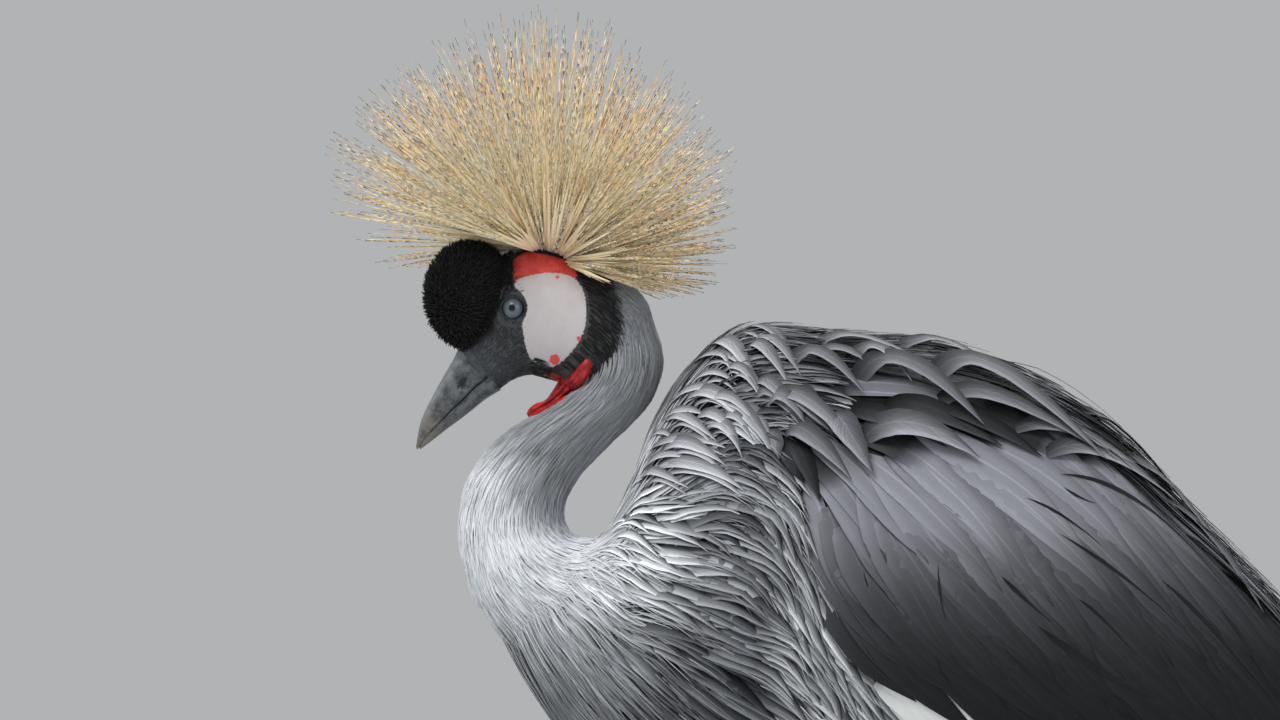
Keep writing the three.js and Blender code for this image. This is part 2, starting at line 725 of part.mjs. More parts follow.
function toePlaces({ heading, length, base }) {
  const way = [Math.sin(radians(heading)), -Math.cos(radians(heading))];
  const knots = [[0, 1, 12], [0.12, 1, 8], [0.45, 0.86, 5], [0.75, 0.74, 4.2], [1, 0.6, 3.4]];
  return knots.map(([share, thick, z]) => [
    LEG_X + way[0] * length * share, FOOT.y + way[1] * length * share,
    Math.min(z * (base / 7.2), base * thick * 0.9 - 0.4 + share * 0.1 + (share < 0.1 ? 9 : 0)),
    base * thick, base * thick * 0.9,
  ]);
}

function clawPlaces({ heading, length, claw, base }) {
  const way = [Math.sin(radians(heading)), -Math.cos(radians(heading))];
  const knots = [[0, 0.52, 4.0], [0.35, 0.44, 4.2], [0.7, 0.28, 3.2], [1, 0.08, 1.4]];
  return knots.map(([share, thick, z]) => {
    const reach = length + GAP + claw * share;
    const half = Math.max(base * thick, 0.6);
    return [LEG_X + way[0] * reach, FOOT.y + way[1] * reach, Math.max(z, half), half * 0.8, half];
  });
}

function buildFoot() {
  let body = limb([[LEG_X, 0, 4, 6, 7], [LEG_X, 1, 12, 8.5, 9.5], [LEG_X, 2.2, 26.6, 6.4, 7.4]], 10);
  for (const toe of Object.values(TOES)) body = body.add(limb(toePlaces(toe), 7));
  return largest(body.trimByPlane([0, 0, 1], 0));
}

const TAIL_FAN = [-18, -13.5, -9, -4.5, 0, 4.5, 9, 13.5, 18];

// Tail: a wedge of flesh and vanes fanned over it
function buildTail(grow) {
  const core = tube(TAIL, 0, 1.6, 4, 12, grow);
  const vanes = TAIL_FAN.map((heading, i) => {
    const order = Math.abs(i - 4);
    const reach = 1 - 0.035 * order;
    const rings = [0.5, 1.4, 3.2, 4].map((t, k) => {
      const at = station(TAIL, t * reach);
      const middle = at.outer.clone().add(at.inner).multiplyScalar(0.5);
      middle.x = (Math.tan(radians(heading)) * (t - 0.3) * 46) * 0.62;
      const up = at.outer.clone().sub(at.inner).normalize();
      middle.addScaledVector(up, 4.2 - order * 1.6 - t * 0.4);
      const half = [7, 11.5, 11, 4][k] + grow;
      const high = 0.5 + grow;
      const corner = (side, lift) => {
        const point = middle.clone().addScaledVector(up, lift - Math.abs(side) * 0.001);
        point.x += side * half;
        return point;
      };
      return [corner(-1, -high), corner(1, -high), corner(1, high), corner(-1, high)];
    });
    return loft(rings);
  });
  return wasm.Manifold.union([core, ...vanes]);
}

const group = new THREE.Group();

function place(name, body, finish) {
  const mesh = largest(body).asOriginal().simplify(TRIM).getMesh();
  const geometry = new THREE.BufferGeometry();
  geometry.setAttribute("position", new THREE.BufferAttribute(mesh.vertProperties, 3));
  geometry.setIndex(new THREE.BufferAttribute(mesh.triVerts, 1));
  geometry.computeVertexNormals();
  const [color, roughness] = FINISH[finish];
  const made = new THREE.Mesh(geometry, new THREE.MeshStandardMaterial({ color, roughness, metalness: 0 }));
  made.name = name;
  group.add(made);
}

function placePair(name, body, finish) {
  place(`${name}_left`, body, finish);
  place(`${name}_right`, mirrored(body), finish);
}

// Flesh
const neckGrown = tube(NECK, 0, 4, 7, 12, GAP + 0.6);
const neckClear = tube(NECK, 7, 12, 8, 12, 1);
const thighClear = limb(THIGH.map(([x, y, z, a, b]) => [x, y, z, a + 0.4, b + 0.4]), 12);
const torsoGrown = loft([-0.1, ...TORSO_ROWS].map((t) => ring(CORE, t, 20, GAP - 0.04)));
const torsoBare = loft([0, ...TORSO_ROWS].map((t) => ring(CORE, t, 20)));
const sideHackles = HACKLES.flatMap((row) => row.angles.map((angle) => hackle(row, angle, VANE_TILT)));
const midHackles = HACKLE_MIDLINE.map(([at, angle]) => {
  return hackle({ at, run: 1.4, turn: 0, width: 20, lift: 4 }, angle, 0);
});
const hackles = wasm.Manifold.union([...sideHackles, ...sideHackles.map(mirrored), ...midHackles]);
const torso = cutAhead(torsoBare, planeAt(CORE, 0.02, GAP / 2));

const head = buildHead();
const neckCuts = [0.05, 3.6, 7.6, 11.95];
const neckNames = ["neck_upper", "neck_middle", "neck_base"];
neckNames.forEach((name, i) => {
  let body = tube(NECK, Math.max(neckCuts[i] - 0.2, 0), Math.min(neckCuts[i + 1] + 0.2, 12), 7, 12);
  body = cutAhead(body, planeAt(NECK, neckCuts[i], GAP / 2));
  body = cutBehind(body, planeAt(NECK, neckCuts[i + 1], -GAP / 2));
  if (i === 0) body = body.subtract(head.grown);
  if (i === 2) body = body.subtract(torsoGrown);
  place(name, body, "neck");
});

// Head
place("head", head.skull, "down");
placePair("eye", head.eye, "eye");
placePair("cheek_white", head.white, "white_skin");
placePair("cheek_red", head.red, "red_skin");
const nostril = new THREE.SphereGeometry(1, 10, 6).scale(2.4, 1.7, 5).rotateX(0.72);
const slot = solid(nostril.translate(7.2, onY(462.5), onZ(382.6)));
const billUpper = buildBill(BILL_UPPER, 0.02, false).subtract(slot).subtract(mirrored(slot));
place("bill_upper", billUpper, "horn");
place("bill_lower", buildBill(BILL_LOWER, 0.02, true), "horn");
const cap = buildCap(head.grown.add(buildBill(BILL_UPPER, -0.05, false, GAP)));
place("forehead_cap", cap, "velvet");

place("throat_wattle", tube(WATTLE, 0, 5, 8, 10).subtract(head.grown).subtract(neckGrown), "red_skin");

const capRoom = capBall(GAP).trimByPlane([0, -1, 0], -onY(CAP.back) - GAP / 2);
place("crest", buildCrest().subtract(head.grown).subtract(neckGrown).subtract(capRoom), "crest");

// Wings and tail
const tail = buildTail(0);
place("tail", tail.subtract(torsoGrown), "black_feather");
let beneath = torsoGrown.add(buildTail(GAP - 0.04));
const wings = [];
for (const [name, tier] of Object.entries(TIERS)) {
  const body = wasm.Manifold.union([plate(tier), ...tierVanes(tier)]);
  const kept = largest(body.subtract(beneath).trimByPlane([1, 0, 0], GAP / 2));
  placePair(name, kept, tier.finish);
  const grown = wasm.Manifold.union([plate(tier, GAP - 0.04), ...tierVanes(tier, GAP - 0.04)]);
  beneath = beneath.add(grown);
  wings.push(grown, mirrored(grown));
}
const dressed = torso.add(hackles.subtract(wasm.Manifold.union(wings)).subtract(neckClear));
place("torso", dressed.subtract(thighClear).subtract(mirrored(thighClear)), "down");

// Legs
placePair("thigh", limb(THIGH, 12).subtract(torsoGrown), "down");
placePair("tibia", limb(TIBIA, 12), "leg");
placePair("tarsus", buildTarsus(), "leg");
placePair("foot", buildFoot(), "leg");
for (const [name, toe] of Object.entries(TOES)) {
  placePair(`claw_${name}`, limb(clawPlaces(toe), 5), "horn");
}

export default group;
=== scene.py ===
import json
import logging
import math
from dataclasses import dataclass, field
from enum import Enum
from typing import Callable, Optional, Sequence

import bpy
import numpy as np
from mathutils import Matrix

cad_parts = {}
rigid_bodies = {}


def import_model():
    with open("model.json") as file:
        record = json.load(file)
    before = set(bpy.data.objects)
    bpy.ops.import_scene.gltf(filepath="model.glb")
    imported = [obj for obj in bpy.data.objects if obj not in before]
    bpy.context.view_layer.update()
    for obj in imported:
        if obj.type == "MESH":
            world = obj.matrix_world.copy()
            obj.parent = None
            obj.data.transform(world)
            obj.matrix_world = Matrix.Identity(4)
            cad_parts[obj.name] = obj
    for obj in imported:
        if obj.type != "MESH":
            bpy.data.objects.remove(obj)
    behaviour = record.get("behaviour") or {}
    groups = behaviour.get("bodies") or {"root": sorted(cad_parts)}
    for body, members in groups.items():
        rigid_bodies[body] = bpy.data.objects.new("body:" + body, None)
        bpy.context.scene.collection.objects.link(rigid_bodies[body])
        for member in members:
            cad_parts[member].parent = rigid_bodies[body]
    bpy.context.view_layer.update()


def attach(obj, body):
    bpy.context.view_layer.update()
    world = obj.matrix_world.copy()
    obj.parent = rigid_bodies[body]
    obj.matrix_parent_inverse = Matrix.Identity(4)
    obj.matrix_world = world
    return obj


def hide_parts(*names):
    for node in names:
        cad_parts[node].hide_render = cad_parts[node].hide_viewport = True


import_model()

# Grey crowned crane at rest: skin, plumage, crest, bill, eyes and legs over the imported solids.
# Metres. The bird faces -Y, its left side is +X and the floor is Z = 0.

SOLIDS = {solid.name for solid in bpy.data.objects}
LOG = logging.getLogger("crane")

MM = 0.001
STEP = 0.54 * MM
SHEET_X, SHEET_Y = 960.0, 1547.0
PHOTO_WIDTH, PHOTO_HEIGHT = 1280, 720
BAKE_PATCH = 0.003
UP = np.array([0.0, 0.0, 1.0])
SIDES = ((1.0, "left"), (-1.0, "right"))

Array = np.ndarray
Rows = Sequence[Sequence[float]]
Rng = np.random.Generator
Material = bpy.types.Material
Socket = bpy.types.NodeSocket
Colour = tuple[float, float, float]
Surface = Callable[[Array, Array, Array], Array]
Heading = Callable[[Array, Array, float], Array]
Test = Callable[[Array, Array, Array], Array]


def side_view(x: Array | float, y: Array | float) -> Array:
    """Y and Z of places on the drawing sheet."""
    x, y = np.asarray(x, float), np.asarray(y, float)
    return np.stack([(x - SHEET_X) * STEP, (SHEET_Y - y) * STEP], axis=-1)


def sheet_of(points: Array) -> tuple[Array, Array]:
    """Place on the drawing sheet, x and y, of points in the row frame."""
    return points[..., 1] / STEP + SHEET_X, SHEET_Y - points[..., 2] / STEP


def paint(*levels: float) -> Colour:
    """Linear colour from display values of 0 to 255."""
    shares = [level / 255.0 for level in levels]
    return tuple(share / 12.92 if share <= 0.04045 else ((share + 0.055) / 1.055) ** 2.4 for share in shares)


def unit(vectors: Array) -> Array:
    """Vectors brought to length one."""
    return vectors / np.maximum(np.linalg.norm(vectors, axis=-1, keepdims=True), 1e-12)


def dot(a: Array, b: Array) -> Array:
    """Dot product along the last axis, kept as an axis."""
    return np.sum(a * b, axis=-1, keepdims=True)


def ease(low: float, high: float, value: Array) -> Array:
    """Smooth step from 0 at low to 1 at high; low may be the greater."""
    share = np.clip((value - low) / (high - low), 0.0, 1.0)
    return share * share * (3.0 - 2.0 * share)


def bump(value: Array, middle: float, width: float) -> Array:
    """Bell curve, 1 at its middle."""
    return np.exp(-(((value - middle) / width) ** 2))


def profile(values: Sequence[float], shares: Array) -> Array:
    """Value at each share along evenly spaced values, in straight steps."""
    return np.interp(shares, np.linspace(0.0, 1.0, len(values)), values)


def along_rows(rows: Rows, t: Array) -> Array:
    """Smooth values at places along a row of places.

    Args:
        rows: The row of places.
        t: Places along it, 1 from each to the next.

    Returns:
        One row of values for each place.
    """
    table = np.asarray(rows, float)
    last = len(table) - 1
    first = np.clip(np.floor(t), 0, last - 1).astype(int)
    f = (t - first)[..., None]
    a, b, c, d = (table[np.clip(first + k, 0, last)] for k in (-1, 0, 1, 2))
    curve = (2 * a - 5 * b + 4 * c - d) * f * f + (3 * b - a - 3 * c + d) * f ** 3
    return 0.5 * (2 * b + (c - a) * f + curve)


# Body stations: outer point, inner point on the sheet, half width in mm
HEAD = [
    [655, 326, 578, 389, 25], [648, 303, 575, 387, 26], [628, 283, 569, 385, 26.5],
    [600, 264, 562, 381, 26], [565, 253, 552, 378, 25], [530, 248, 540, 375, 23.5],
    [503, 262, 529, 375, 21], [482, 283, 517, 378, 17.5], [468, 312, 505, 385, 13.5],
    [459, 347, 494, 394, 9.5],
]
NECK = [
    [655, 326, 578, 389, 25], [663, 354, 570, 393, 25.5], [660, 379, 558, 400, 26],
    [649, 404, 543, 410, 26.5], [630, 425, 523, 421, 27], [608, 446, 500, 437, 27],
    [591, 463, 481, 458, 27], [576, 481, 466, 482, 26.5], [565, 503, 460, 508, 26],
    [565, 523, 458, 535, 26.5], [576, 536, 463, 563, 27.5], [590, 537, 474, 598, 28.5],
    [605, 533, 500, 634, 29],
]
CORE = [
    [605, 533, 500, 634, 29], [618, 510, 540, 675, 37], [633, 478, 585, 703, 47],
    [654, 426, 635, 733, 60], [690, 375, 680, 757, 76], [745, 336, 730, 781, 90],
    [828, 342, 791, 801, 91], [922, 374, 857, 818, 87], [1008, 412, 927, 832, 87],
    [1092, 468, 1002, 842, 83], [1162, 538, 1081, 846, 76], [1224, 602, 1159, 842, 67],
    [1282, 668, 1234, 844, 56], [1345, 742, 1320, 905, 49], [1407, 822, 1398, 970, 42],
    [1468, 915, 1470, 1022, 34], [1533, 1006, 1538, 1056, 22], [1584, 1032, 1583, 1044, 3],
]
ENVELOPE = CORE[:6] + [
    [830, 322, 790, 802, 102], [930, 336, 855, 819, 110], [1025, 366, 925, 834, 112],
    [1115, 422, 1000, 846, 109], [1185, 494, 1080, 853, 101], [1250, 560, 1160, 858, 91],
    [1310, 628, 1240, 882, 80], [1370, 703, 1320, 938, 72], [1430, 787, 1400, 1000, 62],
    [1490, 886, 1475, 1040, 51], [1548, 985, 1545, 1068, 34], [1600, 1024, 1596, 1048, 8],
]
TAIL = [
    [1268, 770, 1238, 842, 33], [1330, 838, 1308, 886, 31], [1400, 914, 1388, 947, 28],
    [1480, 994, 1473, 1016, 25], [1552, 1060, 1549, 1071, 20],
]
BREAST = 21.0
BODY_END = BREAST + 12.3


class Loft:
    """Rounded form through a row of oval sections."""

    def __init__(self, stations: Rows) -> None:
        """Reads the stations: outer point, inner point on the sheet and half width in mm."""
        x, y, in_x, in_y, wide = np.array(stations, float).T
        self.ends = np.column_stack([side_view(x, y), side_view(in_x, in_y), wide * MM])

    def section(self, t: Array) -> Array:
        """Outer Y and Z, inner Y and Z and half width at places along the form."""
        return along_rows(self.ends, t)

    def __call__(self, t: Array, degrees: Array, height: Array) -> Array:
        """Points at a height over the form; 0 degrees is the outer end and 90 the left side.

        Args:
            t: Places along the form.
            degrees: Places round the form.
            height: Heights over the form.

        Returns:
            Points in the row frame.
        """
        t, degrees, height = np.broadcast_arrays(np.asarray(t, float), degrees, height)
        ends = self.section(t)
        angle = np.radians(degrees)
        outer, inner = ends[..., 0:2], ends[..., 2:4]
        length = np.linalg.norm(outer - inner, axis=-1)
        reach = (0.5 * length + height) * np.cos(angle)
        side = 0.5 * (outer + inner) + (outer - inner) * (reach / length)[..., None]
        return np.concatenate([((ends[..., 4] + height) * np.sin(angle))[..., None], side], axis=-1)


BODY = Loft(HEAD[::-1] + NECK[1:] + CORE[1:])
FLESH, OUTLINE, TAIL_FORM = Loft(CORE), Loft(ENVELOPE), Loft(TAIL)


def wing(t: Array, degrees: Array, height: Array) -> Array:
    """Points in the folded wing at a height over the flesh, towards the plumage's outline.

    Args:
        t: Places along the wing.
        degrees: Places round it.
        height: Heights over it.

    Returns:
        Points in the row frame.
    """
    t, degrees, height = np.broadcast_arrays(np.asarray(t, float), degrees, height)
    inside = FLESH(t, degrees, 0.0)
    way = OUTLINE(t, degrees, 0.0) - inside
    plain = FLESH(t, degrees, MM) - inside
    way = np.where(np.linalg.norm(way, axis=-1, keepdims=True) < 2 * MM, plain, way)
    return inside + unit(way) * height[..., None]


def bed_height(t: Array, degrees: Array, share: float) -> Array:
    """Height of a wing tier, which closes up towards the front of the wing."""
    depth = np.linalg.norm(OUTLINE(t, degrees, 0.0) - FLESH(t, degrees, 0.0), axis=-1)
    return share * ease(5.3, 7.2, t) * depth


def settle(surface: Surface, t: Array, degrees: Array, height: Array) -> tuple[Array, Array, Array, Array]:
    """Points on a surface with its two directions and its outward normal.

    Args:
        surface: The surface that carries the coat.
        t: Places along it.
        degrees: Places round it.
        height: Heights over it.

    Returns:
        Points, step for one unit of t, step for one degree, and unit normals.
    """
    here = surface(t, degrees, height)
    along = (surface(t + 0.03, degrees, height) - here) / 0.03
    around = surface(t, degrees + 1.0, height) - here
    normal = np.cross(around, along)
    outward = surface(t, degrees, height + MM) - here
    return here, along, around, unit(normal * np.sign(dot(normal, outward)))


class Lie:
    """Lie of the coat: heading and bend of the feathers over the side view."""

    def __init__(self, marks: Rows) -> None:
        """Reads the marks: sheet x and y, degrees below the horizon towards the tail, bend to the tip.

        Args:
            marks: Rows of sheet x and y, degrees below the horizon and bend to the tip.
        """
        rows = np.array(marks, float)
        angle = np.radians(rows[:, 2])
        self.places = rows[:, :2]
        self.ways = np.column_stack([np.cos(angle), np.sin(angle), rows[:, 3]])

    def read(self, points: Array) -> tuple[Array, Array]:
        """Heading in radians and bend in degrees at points in the row frame.

        Args:
            points: Points in the row frame.

        Returns:
            Headings and bends.
        """
        x, y = sheet_of(points)
        gap = (x[..., None] - self.places[:, 0]) ** 2 + (y[..., None] - self.places[:, 1]) ** 2
        weight = 1.0 / (gap * gap + 400.0 ** 2)
        blend = np.einsum("...m,mk->...k", weight, self.ways) / weight.sum(axis=-1, keepdims=True)
        return np.arctan2(blend[..., 1], blend[..., 0]), blend[..., 2]


BREAST_LIE = Lie([
    [500, 640, 62, 5], [520, 600, 60, 5], [560, 560, 52, 5], [560, 650, 50, 10], [600, 600, 34, 10],
    [590, 650, 44, 15], [600, 720, 40, 10], [628, 499, 20, 30], [645, 469, -6, 50], [650, 440, -18, 60],
    [665, 410, -30, 70], [690, 380, -34, 80], [720, 355, -26, 70], [750, 342, -10, 50], [780, 350, 6, 50],
    [820, 345, 6, 30], [704, 572, 10, 38], [700, 500, -2, 48], [700, 450, -12, 60], [740, 420, 0, 60],
    [740, 480, 14, 50], [745, 540, 28, 36], [770, 590, 48, 15], [800, 600, 62, 5], [780, 530, 60, 10],
    [760, 470, 42, 30], [645, 616, 8, 30], [700, 630, 14, 36], [760, 628, 16, 50], [800, 660, 48, 15],
    [840, 700, 58, 5], [640, 670, 36, 15], [700, 690, 30, 25], [770, 710, 38, 20], [620, 560, 26, 24],
    [700, 780, 16, 10], [800, 800, 6, 5], [900, 830, 2, 0], [1000, 840, 0, 0], [1080, 850, 4, 0],
    [1200, 850, 14, 0], [1300, 880, 34, 0], [850, 760, 34, 5], [950, 790, 20, 5], [1100, 780, 24, 0],
])
WING_LIE = Lie([
    [800, 440, 66, 10], [785, 500, 74, 2], [810, 560, 72, -6], [850, 520, 68, 0], [850, 600, 60, -8],
    [900, 480, 52, 8], [900, 600, 56, -5], [960, 470, 36, 15], [960, 560, 48, 5], [960, 680, 46, 0],
    [1020, 440, 30, 10], [1050, 520, 42, 4], [1050, 620, 44, 0], [1120, 480, 38, 4], [1150, 560, 44, 0],
    [1150, 660, 44, 0], [1250, 640, 47, 0], [1250, 760, 46, 2], [1330, 800, 52, 2], [1400, 900, 56, 0],
    [1000, 780, 36, 0], [1150, 780, 36, 0], [900, 720, 42, 0], [760, 360, 14, 40], [900, 345, 8, 20],
    [1000, 370, 22, 12], [1100, 425, 38, 8], [1200, 520, 44, 4], [1300, 640, 50, 2], [860, 400, 24, 44],
    [740, 400, 20, 50],
])


@dataclass
class Threads:
    """Centre lines of many feathers, with an outward direction at each point."""

    centres: Array
    ups: Array
    roots: Array

    def only(self, kept: Array) -> "Threads":
        """The lines of the chosen numbers."""
        return Threads(self.centres[kept], self.ups[kept], self.roots[kept])


def bake_place(t: Array, degrees: Array) -> Array:
    """Place of a root on the unwrap of the skin: along the body and round it."""
    span = BODY_END + 6.0
    return np.stack([0.02 + 0.96 * np.asarray(t) / span, 0.5 + 0.96 * np.asarray(degrees) / 360.0], axis=-1)


def scatter(
    surface: Surface, count: int, t_range: tuple[float, float], degree_range: tuple[float, float],
    rng: Rng, keep: Optional[Test] = None,
) -> tuple[Array, Array]:
    """Roots spread evenly over part of a surface.

    Args:
        surface: The surface that carries the coat.
        count: Number of roots wanted.
        t_range: Lowest and highest place along it.
        degree_range: Lowest and highest place round it.
        rng: Source of random numbers.
        keep: Test of t, degrees and points that a root has to pass.

    Returns:
        Places along and round the surface.
    """
    golden = 1.32471795724
    tries = count * 14
    order = np.arange(1, tries + 1)
    start = rng.random(2)
    t = t_range[0] + (t_range[1] - t_range[0]) * ((start[0] + order / golden) % 1.0)
    degrees = degree_range[0] + (degree_range[1] - degree_range[0]) * ((start[1] + order / golden ** 2) % 1.0)
    here, along, around, _ = settle(surface, t, degrees, 0.0)
    area = np.linalg.norm(np.cross(along, around), axis=-1)
    chosen = rng.random(tries) < area / np.quantile(area, 0.98)
    if keep is not None:
        chosen &= keep(t, degrees, here)
    picked = np.flatnonzero(chosen)[:count]
    return t[picked], degrees[picked]


def walk(
    surface: Surface, t: Array, degrees: Array, length: Array, rings: int, heading: Heading,
) -> tuple[Array, Array]:
    """Lays lines over a surface from their roots, following a field of directions.

    Args:
        surface: The surface that carries the coat.
        t: Root places along it.
        degrees: Root places round it.
        length: Length of each line.
        rings: Number of points on each line.
        heading: Direction in space from points, unit steps along the surface and share of the length.

    Returns:
        Places along and round the surface, one row for each line.
    """
    places = [(t, degrees)]
    stride = (length / (rings - 1))[..., None]
    for k in range(rings - 1):
        here, along, around, normal = settle(surface, t, degrees, 0.0)
        way = heading(here, unit(along), k / (rings - 1))
        way = unit(way - normal * dot(way, normal)) * stride
        pairs = ((along, along), (along, around), (around, around), (way, along), (way, around))
        aa, ab, bb, wa, wb = (dot(*both)[..., 0] for both in pairs)
        scale = np.maximum(aa * bb - ab * ab, 1e-16)
        t = t + np.clip((wa * bb - wb * ab) / scale, -0.6, 0.6)
        degrees = degrees + np.clip((wb * aa - wa * ab) / scale, -25.0, 25.0)
        places.append((t, degrees))
    return np.stack([place[0] for place in places], axis=1), np.stack([place[1] for place in places], axis=1)


def by_lie(lie: Lie, stray: Array, bend: float = 1.0) -> Heading:
    """Directions read from the lie of the coat, each line turned by its own stray angle.

    Args:
        lie: Heading and bend over the side view.
        stray: Turn of each line in radians.
        bend: How much of the bend is taken.

    Returns:
        Function for walk().
    """
    kept: dict[str, Array] = {}

    def heading(here: Array, _: Array, share: float) -> Array:
        """The lie's own direction, turned and bent.

        Args:
            here: Points on the form.
            share: Share of the way along the line.

        Returns:
            One direction for each line.
        """
        angle, bow = lie.read(here)
        kept.setdefault("bow", bow)
        turned = angle + stray + np.radians(kept["bow"]) * bend * (share - 0.55)
        return np.stack([np.zeros_like(turned), np.cos(turned), -np.sin(turned)], axis=-1)

    return heading


def lay(surface: Surface, t: Array, degrees: Array, height: Array, offset: float = 0.0) -> Threads:
    """Lines in space from their places on a surface and their heights over it.

    Args:
        surface: The surface that carries the coat.
        t: Places along it, one row for each line.
        degrees: Places round it.
        height: Heights over it.
        offset: Added to t for the place on the unwrap.

    Returns:
        The lines.
    """
    centres, _, _, normal = settle(surface, t, degrees, height)
    return Threads(centres, normal, bake_place(t[:, 0] + offset, degrees[:, 0]))


def sprout(
    surface: Surface, roots: tuple[Array, Array], length: Array, heading: Heading, rise: Sequence[float],
    amount: Array | float, base: Array | float = 0.0, offset: float = 0.0,
) -> Threads:
    """Lines that start at roots, follow a heading and rise off the surface.

    Args:
        surface: The surface that carries the coat.
        roots: Places along and round it.
        length: Length of each line.
        heading: Function for walk().
        rise: Height at each ring in mm.
        amount: Share of the rise that each line takes.
        base: Height of the layer below.
        offset: Added to t for the place on the unwrap.

    Returns:
        The lines.
    """
    places = walk(surface, *roots, length, len(rise), heading)
    return lay(surface, *places, base + np.asarray(rise) * MM * amount, offset)


class Section(Enum):
    """Cross-section of a feather: share of the half width and side, 1 for above and -1 for below."""

    STRAND = ((-1.0, 0.0), (0.0, 1.0), (1.0, 0.0))
    BLADE = ((-1.0, 0.0), (0.0, 1.0), (1.0, 0.0), (0.0, -1.0))
    VANE = (
        (-1.0, 0.0), (-0.5, 1.0), (0.0, 1.3), (0.5, 1.0), (1.0, 0.0), (0.5, -1.0), (0.0, -1.0), (-0.5, -1.0),
    )


def read_values(
    items: bpy.types.bpy_prop_collection, name: str, width: int, kind: type = np.float32,
) -> Array:
    """Values of a mesh's items, one row for each.

    Args:
        items: The mesh's items.
        name: Name of the property.
        width: Values of one item.
        kind: Type of the values.

    Returns:
        The values.
    """
    values = np.empty(len(items) * width, kind)
    items.foreach_get(name, values)
    return values.reshape(-1, width)


def ring_faces(lines: int, rings: int, corners: int) -> list[Array]:
    """Faces of many closed rods that have the same number of rings and corners.

    Args:
        lines: Number of rods.
        rings: Rings of each.
        corners: Corners of each ring.

    Returns:
        One block of corner numbers for the walls and one for each kind of end.
    """
    first = (np.arange(lines) * rings * corners)[:, None]
    start = first[:, :, None] + (np.arange(rings - 1) * corners)[None, :, None]
    here = np.arange(corners)[None, None, :]
    after = (here + 1) % corners
    quads = np.stack([start + here, start + after, start + after + corners, start + here + corners], axis=-1)
    fan = np.arange(1, corners - 1)
    last = first + (rings - 1) * corners
    near = np.stack([first + 0 * fan, first + fan + 1, first + fan], axis=-1)
    far = np.stack([last + 0 * fan, last + fan, last + fan + 1], axis=-1)
    return [quads.reshape(-1, 4), near.reshape(-1, 3), far.reshape(-1, 3)]


def shell(upper: Array, lower: Array) -> tuple[Array, list[Array]]:
    """Closed sheet between two grids of points.

    Args:
        upper: Outer points, row by row.
        lower: Inner points, row by row.

    Returns:
        All points, and the faces, pointing out where rows run along and columns round the left side.
    """
    count = upper.shape[0] * upper.shape[1]
    index = np.arange(count).reshape(upper.shape[:2])
    quads = np.stack([index[:-1, :-1], index[1:, :-1], index[1:, 1:], index[:-1, 1:]], axis=-1).reshape(-1, 4)
    rim = np.concatenate([index[0, :-1], index[:-1, -1], index[-1, :0:-1], index[:0:-1, 0]])
    after = np.roll(rim, -1)
    walls = np.stack([rim, rim + count, after + count, after], axis=-1)
    points = np.concatenate([upper.reshape(-1, 3), lower.reshape(-1, 3)])
    return points, [quads, quads[:, ::-1] + count, walls[:, ::-1]]


@dataclass
class Draft:
    """Mesh under construction, with values for each of its points."""

    points: list[Array] = field(default_factory=list)
    faces: list[Array] = field(default_factory=list)
    values: dict[str, list[Array]] = field(default_factory=dict)
    count: int = 0

    def add(self, points: Array, faces: Sequence[Array], **values: Array | float) -> None:
        """Adds points, faces of three or four corners, and values for each point or for all of them.

        Args:
            points: Points to add.
            faces: Blocks of faces, by point numbers.
            values: Values by name, for each point or for all.
        """
        points = points.reshape(-1, 3)
        self.points.append(points)
        self.faces += [np.asarray(block, np.int64) + self.count for block in faces]
        for name, value in values.items():
            width = {"tint": 3, "uv": 2}.get(name, 1)
            rows = np.broadcast_to(np.asarray(value, float).reshape(-1, width), (len(points), width))
            self.values.setdefault(name, []).append(rows)
        self.count += len(points)

    def rod(self, points: Array, **values: Array | float) -> None:
        """Adds one closed rod from its rings of points."""
        self.add(points, ring_faces(1, *points.shape[:2]), **values)

    def build(self, name: str, material: Material) -> bpy.types.Object:
        """Makes the object.

        Args:
            name: Name of the piece.
            material: Its material.

        Returns:
            The object, in the scene.
        """
        mesh = bpy.data.meshes.new(name)
        mesh.vertices.add(self.count)
        mesh.vertices.foreach_set("co", np.concatenate(self.points).astype(np.float32).ravel())
        sizes = np.concatenate([np.full(len(block), block.shape[1]) for block in self.faces])
        corners = np.concatenate([block.ravel() for block in self.faces]).astype(np.int32)
        mesh.loops.add(len(corners))
        mesh.loops.foreach_set("vertex_index", corners)
        mesh.polygons.add(len(sizes))
        starts = np.concatenate([[0], np.cumsum(sizes)[:-1]]).astype(np.int32)
        mesh.polygons.foreach_set("loop_start", starts)
        mesh.polygons.foreach_set("use_smooth", np.ones(len(sizes), bool))
        for key, blocks in self.values.items():
            value = np.concatenate(blocks).astype(np.float32)
            if key == "uv":
                mesh.uv_layers.new(name="OFBake").data.foreach_set("uv", value[corners].ravel())
            elif value.shape[1] == 3:
                rgba = np.column_stack([value, np.ones(len(value), np.float32)])
                mesh.attributes.new(key, "FLOAT_COLOR", "POINT").data.foreach_set("color", rgba.ravel())
            else:
                mesh.attributes.new(key, "FLOAT", "POINT").data.foreach_set("value", value.ravel())
        mesh.update(calc_edges=True)
        if "across" in self.values:
            aside = np.abs(np.concatenate(self.values["across"]).ravel())
            ends = read_values(mesh.edges, "vertices", 2, np.int32)
            mesh.edges.foreach_set("use_edge_sharp", aside[ends].min(axis=1) > 0.99)
        mesh.materials.append(material)
        made = bpy.data.objects.new(name, mesh)
        bpy.context.scene.collection.objects.link(made)
        return made


@dataclass
class Cut:
    """Shape of one kind of feather: section, widths from root to tip, thickness in mm and habits."""

    section: Section
    widths: tuple[float, ...]
    thick: float = 0.3
    bow: float = 0.25
    lean: float = 0.0
    notch: float = 0.0


